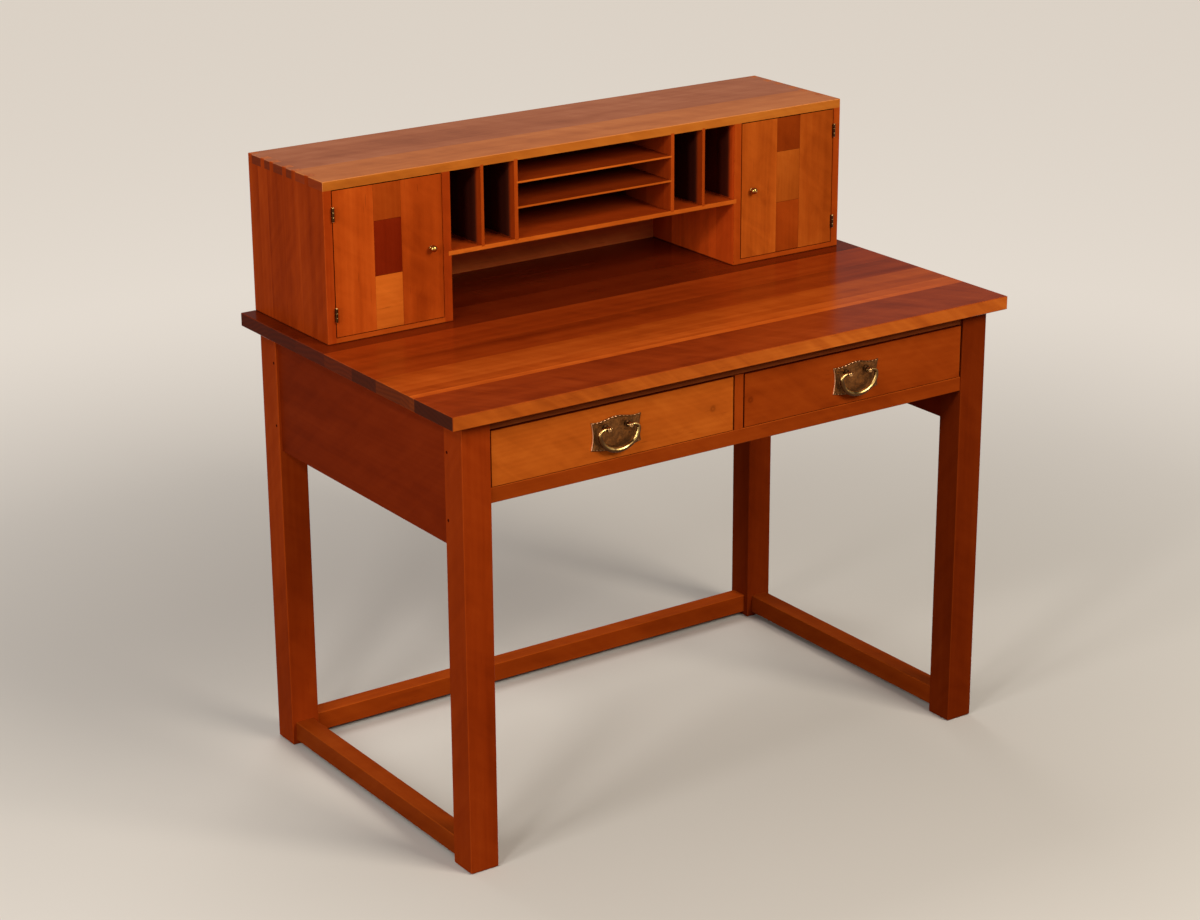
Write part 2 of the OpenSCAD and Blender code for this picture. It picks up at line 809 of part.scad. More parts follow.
module dividers(reach) {
    for (i = [0 : 3])
        block([divider_x[i], gal_y, shelf_top - reach],
              [divider_x[i] + divider_t[i], panel_y, gal_zu + reach]);
}
module gallery_top_board(y0, y1) {
    difference() {
        intersection() {
            gallery_envelope();
            union() {
                block([-gal_xi, gal_y, gal_zu], [gal_xi, gal_yb, gal_z]);
                for (side = [-1, 1]) on_side(side) gallery_tails();
            }
            block([-gal_w, y0, gal_zu], [gal_w, y1, gal_z]);
        }
        back_panel_shape(groove);
        dividers(dado);
    }
}
module gallery_top_front_board() {
    color(cherry_light) gallery_top_board(gal_y, gal_y + gal_front_board);
}
module gallery_top_rear_board() {
    color(cherry_dark) gallery_top_board(gal_y + gal_front_board, gal_yb);
}

module gallery_side(side) {
    color(cherry_dark) on_side(side) difference() {
        intersection() {
            gallery_envelope();
            block([gal_xi, gal_y, desk_h], [gal_w / 2, gal_yb, gal_z]);
        }
        gallery_tails();
        back_panel_shape(groove);
        hinge_room();
    }
}

module gallery_shelf_shape(reach) {
    block([-part_xi - reach, gal_y, shelf_z], [part_xi + reach, panel_y, shelf_top]);
}
module gallery_partition(side) {
    color(cherry) difference() {
        on_side(side) block([part_xi, gal_y, desk_h], [part_x, panel_y, gal_zu]);
        gallery_shelf_shape(groove);
        gallery_screws(screw_clear);
    }
}
module gallery_shelf() {
    color(cherry_light) difference() {
        gallery_shelf_shape(groove);
        dividers(dado);
    }
}
module cabinet_floors() {
    color(cherry) difference() {
        for (side = [-1, 1]) on_side(side)
            block([part_x, gal_y, desk_h], [gal_xi, panel_y, floor_z]);
        gallery_screws(screw_clear);
    }
}
module gallery_back_panel() {
    color(cherry_dark) back_panel_shape(groove);
}
module letter_shelf_shapes(reach) {
    for (z = [letter_z1, letter_z2])
        block([divider_x[1] + thick_t - reach, gal_y, z],
              [divider_x[2] + reach, panel_y, z + letter_t]);
}
module pigeonhole_dividers() {
    color(cherry) difference() {
        dividers(dado);
        letter_shelf_shapes(dado);
    }
}
module letter_shelves() {
    color(cherry) letter_shelf_shapes(dado);
}

// Hinges, drawn on the right
// Room for the knuckle and the case leaf, cut in the gallery side
module hinge_room() {
    for (z = hinge_zs)
        block([gal_xi - past, gal_y - past, z - hinge_h / 2],
              [gal_xi + leaf_t, gal_y + leaf_w, z + hinge_h / 2]);
}
// Room for the door leaf, cut in the edge of the door
module door_leaf_room() {
    for (z = hinge_zs)
        block([door_x1 - leaf_t, gal_y - past, z - hinge_h / 2],
              [door_x1 + past, gal_y + leaf_w, z + hinge_h / 2]);
}
knuckle_h = hinge_h / 3;
module knuckle(z0, z1, x_leaf) {
    translate([hinge_x, hinge_y, z0]) cylinder(d = knuckle_d, h = z1 - z0);
    block([x_leaf, hinge_y, z0], [x_leaf + leaf_t, gal_y + leaf_gap + past, z1]);
}
module pin_bores(d) {
    for (z = hinge_zs) translate([hinge_x, hinge_y, z])
        cylinder(d = d, h = hinge_h + 2 * past, center = true);
}
module case_leaves(side) {
    on_side(side) difference() {
        for (z = hinge_zs) {
            z0 = z - hinge_h / 2;
            block([gal_xi, gal_y + leaf_gap, z0], [gal_xi + leaf_t, gal_y + leaf_w, z0 + hinge_h]);
            knuckle(z0, z0 + knuckle_h - knuckle_gap, gal_xi);
            knuckle(z0 + 2 * knuckle_h + knuckle_gap, z0 + hinge_h, gal_xi);
        }
        pin_bores(hinge_pin_d);
    }
}
module case_hinge_leaves() {
    color(brass) for (side = [-1, 1]) case_leaves(side);
}
module door_hinge_leaves(side) {
    color(brass) on_side(side) difference() {
        for (z = hinge_zs) {
            z0 = z - hinge_h / 2;
            block([door_x1 - leaf_t, gal_y + leaf_gap, z0], [door_x1, gal_y + leaf_w, z0 + hinge_h]);
            knuckle(z0 + knuckle_h, z0 + 2 * knuckle_h, door_x1 - leaf_t);
        }
        pin_bores(hinge_pin_d + 2 * hinge_gap);
    }
}
module hinge_pin() {
    cylinder(d = hinge_pin_d, h = hinge_h, center = true);
    for (s = [0, 1]) mirror([0, 0, s]) translate([0, 0, hinge_h / 2])
        cylinder(d1 = pin_head_d, d2 = hinge_pin_d, h = pin_head_t);
}
module hinge_pins() {
    color(brass) for (side = [-1, 1]) on_side(side) for (z = hinge_zs)
        translate([hinge_x, hinge_y, z]) hinge_pin();
}

module door_staves(side) {
    color(cherry) on_side(side) difference() {
        union() {
            block([door_x0, gal_y, door_z0], [block_x0, door_yi, door_z1]);
            block([block_x1, gal_y, door_z0], [door_x1, door_yi, door_z1]);
        }
        door_leaf_room();
        rod_y([knob_x, gal_y - past, knob_z], knob_screw + screw_clear, door_t + 2 * past);
        rod_y([knob_x, door_yi - knob_screw_t, knob_z],
              knob_screw_head + screw_clear, knob_screw_t + past);
    }
}
module door_block(side, z0, z1) {
    on_side(side) block([block_x0, gal_y, z0], [block_x1, door_yi, z1]);
}
module left_door_blocks() {
    color(cherry_light) door_block(-1, door_z0, block_z1);
    color(cherry_deep) door_block(-1, block_z1 + glue_line, block_z2);
    color(cherry) door_block(-1, block_z2 + glue_line, door_z1);
}
module right_door_blocks() {
    color(cherry) door_block(1, door_z0, block_z1);
    color(cherry_light) door_block(1, block_z1 + glue_line, block_z2);
    color(cherry_deep) door_block(1, block_z2 + glue_line, door_z1);
}

// A knob turned round its axis, with a steel screw from inside the door
knob_foot = 0.75;
knob_neck = 0.42;
knob_cap = 0.85;
module door_knob(side) {
    r = knob_d / 2;
    neck = r * knob_neck;
    foot = r * knob_foot;
    ball_y = knob_out - r * knob_cap;
    color(brass) on_side(side) translate([knob_x, gal_y, knob_z]) rotate([90, 0, 0]) {
        difference() {
            rotate_extrude() intersection() {
                union() {
                    translate([0, ball_y]) circle(r = r);
                    polygon([[0, 0], [foot, 0], [foot, 1], [neck, 2], [neck, ball_y], [0, ball_y]]);
                }
                square([r + 1, knob_out]);
            }
            translate([0, 0, -past])
                cylinder(d = knob_screw + screw_clear, h = screw_bite + past + screw_clear);
        }
        union() {
            translate([0, 0, -door_t]) cylinder(d = knob_screw_head, h = knob_screw_t);
            translate([0, 0, -door_t]) cylinder(d = knob_screw, h = door_t + screw_bite);
        }
    }
}

module door_catches() {
    color(steel) for (side = [-1, 1]) on_side(side)
        block([part_x, door_yi + catch_gap, knob_z - catch_h / 2],
              [part_x + catch_w, door_yi + catch_gap + catch_d, knob_z + catch_h / 2]);
}

// Dovetails of the drawer sides, half hidden in the drawer front
module drawer_tails_shape(x0, x1) {
    for (i = [0 : drawer_tails - 1]) {
        zc = tail_z0 + (i + 0.5) * tail_pitch;
        h = drawer_tail_w / 2;
        translate([x0, 0, 0]) rotate([90, 0, 90]) linear_extrude(x1 - x0) polygon([
            [face_y + lap, zc - h], [front_yi, zc - h + flare], [front_yi + past, zc - h + flare],
            [front_yi + past, zc + h - flare], [front_yi, zc + h - flare], [face_y + lap, zc + h]
        ]);
    }
}
module drawer_bottom_shape() {
    block([drawer_x0 + side_t - groove, front_yi - groove, bottom_z0],
          [drawer_x1 - side_t + groove, drawer_ye, bottom_z1]);
}
module drawer_back_shape() {
    block([drawer_x0 + side_t - groove, drawer_ye - back_margin - drawer_back_t, bottom_z1],
          [drawer_x1 - side_t + groove, drawer_ye - back_margin, side_z1 - back_drop]);
}
module drawer_front(side) {
    color(cherry) on_side(side) difference() {
        eased_block([drawer_x0, face_y, front_z0], [drawer_x1, front_yi, front_z1], ease / 2);
        drawer_tails_shape(drawer_x0 - past, drawer_x0 + side_t);
        drawer_tails_shape(drawer_x1 - side_t, drawer_x1 + past);
        drawer_bottom_shape();
        for (s = [-1, 1])
            rod_y([drawer_xc + s * post_gap / 2, face_y - past, pivot_z],
                  rod_d + screw_clear, front_t + 2 * past);
    }
}
module drawer_sides(side) {
    color(pale_wood) on_side(side) difference() {
        union() {
            for (x = [drawer_x0, drawer_x1 - side_t]) {
                block([x, front_yi, side_z0], [x + side_t, drawer_ye, side_z1]);
                drawer_tails_shape(x, x + side_t);
            }
        }
        drawer_bottom_shape();
        drawer_back_shape();
    }
}
module drawer_back(side) {
    color(pale_wood) on_side(side) drawer_back_shape();
}
module drawer_bottom(side) {
    color(pale_wood) on_side(side) drawer_bottom_shape();
}

// Outline of a back plate: sides drawn in, lower edge bowed down, top arched between two dips
plate_steps = 16;
dip_at = 0.75;
function plate_top(u) = abs(u) < dip_at
    ? plate_h - plate_dip + (plate_arch + plate_dip) * pow(cos(90 * u / dip_at), 2)
    : plate_h - plate_dip + plate_dip * pow((abs(u) - dip_at) / (1 - dip_at), 2);
function plate_side(v) = plate_w / 2 - plate_waist * sin(180 * v);
function plate_bottom(u) = -plate_belly * (1 - u * u);
module plate_outline() {
    polygon(concat(
        [for (i = [0 : plate_steps]) let (u = 1 - 2 * i / plate_steps) [u * plate_w / 2, plate_top(u)]],
        [for (i = [1 : plate_steps]) let (v = 1 - i / plate_steps) [-plate_side(v), v * plate_h]],
        [for (i = [1 : plate_steps]) let (u = -1 + 2 * i / plate_steps)
            [u * plate_w / 2, plate_bottom(u)]],
        [for (i = [1 : plate_steps - 1]) let (v = i / plate_steps) [plate_side(v), v * plate_h]]
    ));
}
module pull_plate(side) {
    color(bronze) on_side(side) difference() {
        translate([drawer_xc, face_y, plate_z]) rotate([90, 0, 0]) linear_extrude(plate_t) plate_outline();
        for (s = [-1, 1])
            rod_y([drawer_xc + s * post_gap / 2, face_y - plate_t - past, pivot_z],
                  rod_d + screw_clear, plate_t + 2 * past);
    }
}

// A post turned round its rod: collar, neck and round head with a hole for the bail's pin
module pull_post() {
    head_y = pivot_out;
    difference() {
        rotate([90, 0, 0]) rotate_extrude() union() {
            polygon([
                [0, plate_t], [post_collar / 2, plate_t], [post_collar / 2, plate_t + collar_t / 2],
                [post_neck / 2, plate_t + collar_t], [post_neck / 2, head_y], [0, head_y]
            ]);
            intersection() {
                translate([0, head_y]) circle(d = post_head);
                translate([0, plate_t]) square([post_head, post_head + head_y]);
            }
            translate([0, -front_t - nut_t - past])
                square([rod_d / 2, front_t + nut_t + past + plate_t]);
        }
        rod_x([-post_head, -head_y, 0], pin_d + 2 * pin_gap, 2 * post_head);
    }
}
module pull_nut() {
    rotate([-90, 0, 0]) difference() {
        cylinder(d = nut_w, h = nut_t, $fn = 6);
        translate([0, 0, -past]) cylinder(d = rod_d + screw_clear, h = nut_t + 2 * past);
    }
}
module pull_posts(side) {
    color(bronze) on_side(side) for (s = [-1, 1])
        translate([drawer_xc + s * post_gap / 2, face_y, pivot_z]) {
            pull_post();
            translate([0, front_t, 0]) pull_nut();
        }
}

// The bail: half an ellipse below, shoulders turned in towards the posts, thickest at the grip
bail_low = bail_drop - bail_shoulder;
bail_end_x = post_gap / 2 + post_head / 2 + bail_clear;
bail_end_r = pin_d / 2 + bail_swell;
function bail_x(a) = cos(a) > 0
    ? bail_w / 2 * sin(a)
    : sign(a) * (bail_end_x + (bail_w / 2 - bail_end_x) * abs(sin(a)));
function bail_z(a) = cos(a) > 0 ? -bail_shoulder - bail_low * cos(a) : -bail_shoulder * (1 + cos(a));
function bail_r(a) = bail_end_r + (bail_grip / 2 - bail_end_r) * pow(max(0, cos(a / 2)), 1.5);
function bail_point(a) = [bail_x(a), 0, bail_z(a)];
function bail_normal(a) =
    let (d = bail_point(min(a + 0.5, 180)) - bail_point(max(a - 0.5, -180))) [-d[2], 0, d[0]] / norm(d);
module bail_tube() {
    angles = [for (i = [0 : bail_rings]) -180 + 360 * i / bail_rings];
    points = [for (a = angles) for (j = [0 : bail_sides - 1]) let (b = 360 * j / bail_sides)
        bail_point(a) + bail_r(a) * (cos(b) * bail_normal(a) + sin(b) * [0, 1, 0])];
    n = bail_sides;
    polyhedron(points, concat(
        [[for (j = [n - 1 : -1 : 0]) j]],
        [for (i = [0 : bail_rings - 1]) for (j = [0 : n - 1])
            [i * n + j, i * n + (j + 1) % n, (i + 1) * n + (j + 1) % n, (i + 1) * n + j]],
        [[for (j = [0 : n - 1]) bail_rings * n + j]]
    ), convexity = 4);
}
module bail(side) {
    color(bronze) on_side(side) translate([drawer_xc, pivot_y, pivot_z]) union() {
        bail_tube();
        for (s = [-1, 1]) mirror([s < 0 ? 1 : 0, 0, 0])
            rod_x([pin_end_x, 0, 0], pin_d, bail_end_x + past - pin_end_x);
    }
}

leg_front(-1);  // leg_front_left
leg_front(1);  // leg_front_right
leg_back(-1);  // leg_back_left
leg_back(1);  // leg_back_right
side_apron(-1);  // side_apron_left
side_apron(1);  // side_apron_right
back_apron();
upper_front_rail();
lower_front_rail();
drawer_stile();
side_stretcher(-1);  // side_stretcher_left
side_stretcher(1);  // side_stretcher_right
back_stretcher();
tenon_pegs();
drawer_runners();
drawer_kickers();
drawer_stops();
desktop_front_board();
desktop_board_2();
desktop_board_3();
desktop_board_4();
desktop_rear_boards();
desktop_buttons();
wood_screws();
gallery_top_front_board();
gallery_top_rear_board();
gallery_side(-1);  // gallery_side_left
gallery_side(1);  // gallery_side_right
gallery_partition(-1);  // gallery_partition_left
gallery_partition(1);  // gallery_partition_right
gallery_shelf();
cabinet_floors();
gallery_back_panel();
pigeonhole_dividers();
letter_shelves();
door_staves(-1);  // left_door_staves
left_door_blocks();
door_knob(-1);  // left_door_knob
door_hinge_leaves(-1);  // left_door_hinge_leaves
door_staves(1);  // right_door_staves
right_door_blocks();
door_knob(1);  // right_door_knob
door_hinge_leaves(1);  // right_door_hinge_leaves
case_hinge_leaves();
hinge_pins();
door_catches();
drawer_front(-1);  // left_drawer_front
drawer_sides(-1);  // left_drawer_sides
drawer_back(-1);  // left_drawer_back
drawer_bottom(-1);  // left_drawer_bottom
pull_plate(-1);  // left_pull_plate
pull_posts(-1);  // left_pull_posts
bail(-1);  // left_bail
drawer_front(1);  // right_drawer_front
drawer_sides(1);  // right_drawer_sides
drawer_back(1);  // right_drawer_back
drawer_bottom(1);  // right_drawer_bottom
pull_plate(1);  // right_pull_plate
pull_posts(1);  // right_pull_posts
bail(1);  // right_bail
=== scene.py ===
import json
import math
from itertools import product

import bmesh
import bpy
from bpy.props import FloatProperty, FloatVectorProperty, IntProperty, PointerProperty
from mathutils import Euler, Matrix, Vector, noise


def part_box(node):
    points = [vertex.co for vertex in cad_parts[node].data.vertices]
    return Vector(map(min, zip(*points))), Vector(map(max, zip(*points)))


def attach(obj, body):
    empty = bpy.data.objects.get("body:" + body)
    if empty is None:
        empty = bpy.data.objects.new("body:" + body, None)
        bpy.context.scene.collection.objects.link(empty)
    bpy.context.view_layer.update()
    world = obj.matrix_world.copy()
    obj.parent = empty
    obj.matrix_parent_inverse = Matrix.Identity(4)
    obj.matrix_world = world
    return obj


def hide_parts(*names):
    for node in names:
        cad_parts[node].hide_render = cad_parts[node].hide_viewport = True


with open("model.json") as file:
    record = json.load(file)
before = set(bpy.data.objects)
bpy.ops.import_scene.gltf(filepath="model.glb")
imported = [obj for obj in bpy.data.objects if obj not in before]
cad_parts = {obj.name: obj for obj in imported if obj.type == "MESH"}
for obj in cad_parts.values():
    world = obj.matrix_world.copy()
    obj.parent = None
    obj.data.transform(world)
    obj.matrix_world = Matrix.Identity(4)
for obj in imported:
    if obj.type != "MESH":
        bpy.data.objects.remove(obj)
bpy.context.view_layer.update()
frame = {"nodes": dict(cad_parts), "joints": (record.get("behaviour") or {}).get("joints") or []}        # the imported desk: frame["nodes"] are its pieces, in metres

bl_info = {
    "name": "Mission Writing Desk",
    "version": (1, 0, 0),
    "blender": (4, 5, 0),
    "location": "3D View > Sidebar > Writing Desk",
    "description": "Finishes, hardware and studio for a cherry writing desk with a gallery",
    "category": "Add Mesh",
}

MM = 0.001
AXES = "XYZ"
SIDES = ("left", "right")
OUTWARD = {"left": -1, "right": 1}


def rgb(red, green, blue):
    """A colour given as 0 to 255 per channel, in the linear values that shaders take"""
    out = []
    for value in (red, green, blue):
        share = value / 255
        if share <= 0.04045:
            out.append(share / 12.92)
        else:
            out.append(((share + 0.055) / 1.055) ** 2.4)
    return tuple(out)


def tone_property(label, about, red, green, blue):
    """A colour the user can change, with its default as 0 to 255 per channel"""
    return FloatVectorProperty(
        name=label, description=about, default=rgb(red, green, blue),
        subtype="COLOR", size=3, min=0, max=1,
    )


def number_property(label, about, value, low, high, **more):
    """A number the user can change"""
    return FloatProperty(name=label, description=about, default=value, min=low, max=high, **more)


def share_property(label, about, value, low=0, high=1):
    """A share the user can change"""
    return number_property(label, about, value, low, high, subtype="FACTOR")


def length_property(label, about, value, low, high):
    """A length the user can change, in metres"""
    return number_property(label, about, value, low, high, unit="LENGTH", precision=5)


def angle_property(label, about, degrees):
    """An angle the user can change, with its default in degrees"""
    return FloatProperty(
        name=label, description=about, default=math.radians(degrees), subtype="ANGLE",
    )


def lamp_property(label, about, watts):
    """The power of a lamp, which the user can change"""
    return FloatProperty(
        name=label, description=f"Power of the {about}", default=watts, min=0, unit="POWER",
    )


class WoodFinish(bpy.types.PropertyGroup):
    """Tones, gloss and wear of the cherry, and the tone of the maple inside"""
    honey: tone_property("Honey", "Palest cherry, next to the sapwood", 206, 112, 34)
    golden: tone_property("Golden", "Golden orange cherry", 196, 92, 24)
    orange: tone_property("Orange", "Plain orange cherry", 182, 72, 16)
    russet: tone_property("Russet", "Red-orange cherry", 165, 58, 12)
    red: tone_property("Red", "Red cherry", 146, 46, 10)
    auburn: tone_property("Auburn", "Red-brown cherry of the front board", 139, 48, 10)
    maroon: tone_property("Maroon", "Dark red heartwood", 116, 28, 5)
    rose: tone_property("Rose", "Rosy brown of the gallery's top", 174, 96, 58)
    brown: tone_property("Brown", "Brown of the back panel", 120, 54, 22)
    pale: tone_property("Pale", "Maple of the drawers' insides", 205, 168, 120)
    # Painted shade: the dark colour painted on the pigeonholes' sides, where shadow falls inside them
    pigeonhole_shade_colour: tone_property("Pigeonhole Shade", "Dark sides of the pigeonholes", 50, 26, 19)
    gloss: share_property("Roughness", "Roughness of the satin lacquer", 0.2, 0.05, 0.8)
    sheen_level: share_property("Reflection", "Specular level of the cherry", 0.16)
    lacquer_ior: number_property(
        "Lacquer IOR", "Index of refraction of the lacquered tops", 1.4, 1, 2)
    rubbed_ior: number_property(
        "Rubbed IOR", "Index of refraction of the rubbed finish on the other pieces", 1.08, 1, 2)
    sheen_tint: tone_property("Reflection Tint", "Warm tint of what the cherry mirrors", 248, 158, 58)
    # Paler eased edges stand for edge wear and for painted highlight along the edges
    worn: share_property("Edge Wear", "How much paler the eased edges are", 0.6)


class MetalFinish(bpy.types.PropertyGroup):
    """Colours of the pulls, hinges, knobs and screws, and the marks on the plates"""
    patina: tone_property("Patina", "Dark brown patina in the plates' hollows", 74, 45, 24)
    bronze: tone_property("Bronze", "Bronze of the plates' hammered face", 140, 88, 44)
    # Painted highlight as well as rubbed copper, on the rims' faces turned up and to the left
    copper: tone_property("Rubbed Copper", "Bright rubbed rim of the plates", 236, 172, 124)
    bail: tone_property("Bail", "Bronze of the bails", 92, 60, 32)
    post: tone_property("Post", "Rubbed bronze of the heads that carry the bails", 204, 154, 98)
    # Painted highlight as well as rubbed metal, on the upper faces of the bails and hinges
    glint: tone_property("Rubbed Bail", "Bright rubbed side of the bails", 240, 196, 120)
    brass: tone_property("Brass", "Knobs and hinges", 196, 148, 78)
    steel: tone_property("Steel", "Screws, nuts and catches", 168, 166, 162)
    hammer_pitch: length_property(
        "Hammer Marks", "Distance between hammer marks on a plate", 4.6 * MM, 0.001, 0.02)
    hammer_depth: length_property("Hammer Depth", "Depth of the hammer marks", 0.35 * MM, 0, 0.001)
    bead_pitch: length_property(
        "Rim Marks", "Distance between the marks on a plate's rim", 7.0 * MM, 0.002, 0.02)


class StudioLook(bpy.types.PropertyGroup):
    """Camera, lamps and floor"""
    lens: FloatProperty(name="Lens", description="Focal length", default=83.616, unit="CAMERA")
    yaw: angle_property("Yaw", "Turn of the camera to the right of +Y", 34.507)
    pitch: angle_property("Pitch", "How far the camera looks down", 19.59)
    roll: angle_property("Roll", "Tilt of the camera", -0.329)
    place: FloatVectorProperty(
        name="Camera Place", description="Where the camera stands",
        default=(-2.5369, -3.6089, 2.06), subtype="TRANSLATION", size=3,
    )
    floor: tone_property("Floor", "Plain pale floor", 214, 206, 196)
    backdrop: tone_property("Backdrop", "Pale distance behind the desk", 213, 203, 191)
    floor_bounce: tone_property("Floor Bounce", "Floor as the underside of the desk sees it", 124, 94, 68)
    world: number_property(
        "Surroundings", "Strength of the soft light from all round", 0.18, 0, 2)
    key: lamp_property("Key Lamp", "large front lamp", 112)
    fill: lamp_property("Side Lamp", "lamp at the left", 28)
    top: lamp_property("Top Lamp", "lamp up behind the desk", 46)
    glint: lamp_property("Small Lamp", "small lamp up left", 17)


# Meshes

def joint_place(name):
    """The point that a joint's axis runs through"""
    return Vector(next(joint for joint in frame["joints"] if joint["name"] == name)["pos_m"])


def new_object(name, data):
    """Makes an object and puts it in the scene"""
    made = bpy.data.objects.new(name, data)
    bpy.context.scene.collection.objects.link(made)
    return made


def mesh_from(name, bm, smooth_angle=35):
    """Closes a bmesh into a mesh, smooth but with creases sharper than the angle kept"""
    bmesh.ops.recalc_face_normals(bm, faces=bm.faces)
    mesh = bpy.data.meshes.new(name)
    bm.to_mesh(mesh)
    bm.free()
    mesh.polygons.foreach_set("use_smooth", [True] * len(mesh.polygons))
    mesh.set_sharp_from_angle(angle=math.radians(smooth_angle))
    return mesh


def make_piece(name, bm, body, slot, materials, *replaced, smooth_angle=35):
    """Makes a piece of a bmesh, which rides on a body and stands for a CAD node"""
    mesh = mesh_from(name, bm, smooth_angle)
    for material in materials:
        mesh.materials.append(material)
    piece = new_object(name, mesh)
    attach(piece, body)
    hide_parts(*replaced)


def lathe(bm, profile, place, direction, sides=48, material=0, hollow=False):
    """Turns a profile of (distance along, radius) round a line; radius 0 closes an end, and a
    hollow piece runs from the last point back to the first"""
    turn = Vector((0, 0, 1)).rotation_difference(direction).to_matrix()
    rings = []
    for along, radius in profile:
        if radius == 0:
            rings.append([bm.verts.new(place + turn @ Vector((0, 0, along)))])
            continue
        ring = []
        for k in range(sides):
            angle = 2 * math.pi * k / sides
            spot = Vector((radius * math.cos(angle), radius * math.sin(angle), along))
            ring.append(bm.verts.new(place + turn @ spot))
        rings.append(ring)
    if hollow:
        rings.append(rings[0])
    for low, high in zip(rings, rings[1:]):
        for k in range(sides):
            after = (k + 1) % sides
            steps = ((low, k), (low, after), (high, after), (high, k))
            corners = [ring[step % len(ring)] for ring, step in steps]
            face = bm.faces.new(list(dict.fromkeys(corners)))
            face.material_index = material


def ball_end(profile, centre, radius, reach, start, steps):
    """Adds a ball to a profile, from the angle where its neck ends to its tip; reach is how far
    the tip stands from the ball's centre"""
    for k in range(steps):
        angle = start * (1 - k / steps)
        profile.append((centre + reach * math.cos(angle), radius * math.sin(angle)))
    profile.append((centre + reach, 0))


def eased_box(bm, low, high, ease, material=0):
    """A box with all its edges rounded"""
    verts = bmesh.ops.create_cube(bm, size=1)["verts"]
    for vert in verts:
        for axis in range(3):
            vert.co[axis] = low[axis] if vert.co[axis] < 0 else high[axis]
    edges = list(dict.fromkeys(edge for vert in verts for edge in vert.link_edges))
    done = bmesh.ops.bevel(
        bm, geom=edges, offset=ease, segments=3, profile=0.5, affect="EDGES", clamp_overlap=True,
    )
    faces = set(done["faces"])
    for vert in done["verts"]:
        faces.update(vert.link_faces)
    for face in faces:
        face.material_index = material


def sweep(bm, path, radii, sides, flat):
    """A round bar along a path that lies in a plane square to flat"""
    rings = []
    count = len(path)
    for k, spot in enumerate(path):
        ahead = path[min(k + 1, count - 1)] - path[max(k - 1, 0)]
        across = ahead.normalized().cross(flat)
        ring = []
        for side in range(sides):
            angle = 2 * math.pi * side / sides
            offset = math.cos(angle) * across + math.sin(angle) * flat
            ring.append(bm.verts.new(spot + radii[k] * offset))
        rings.append(ring)
    for low, high in zip(rings, rings[1:]):
        for side in range(sides):
            after = (side + 1) % sides
            bm.faces.new([low[side], low[after], high[after], high[side]])
    for end in (rings[0], rings[-1]):
        bm.faces.new(end)


def drilled(piece_mesh, tool_bm):
    """The mesh with the tool's shape cut out of it"""
    tool_mesh = mesh_from("drill", tool_bm)
    tool = new_object("drill", tool_mesh)
    holder = new_object("drilled", piece_mesh)
    cut = holder.modifiers.new("bore", "BOOLEAN")
    cut.operation = "DIFFERENCE"
    cut.solver = "EXACT"
    cut.object = tool
    graph = bpy.context.evaluated_depsgraph_get()
    result = bpy.data.meshes.new_from_object(holder.evaluated_get(graph))
    for item in (tool, holder):
        bpy.data.objects.remove(item)
    bpy.data.meshes.remove(tool_mesh)
    return result


# Materials

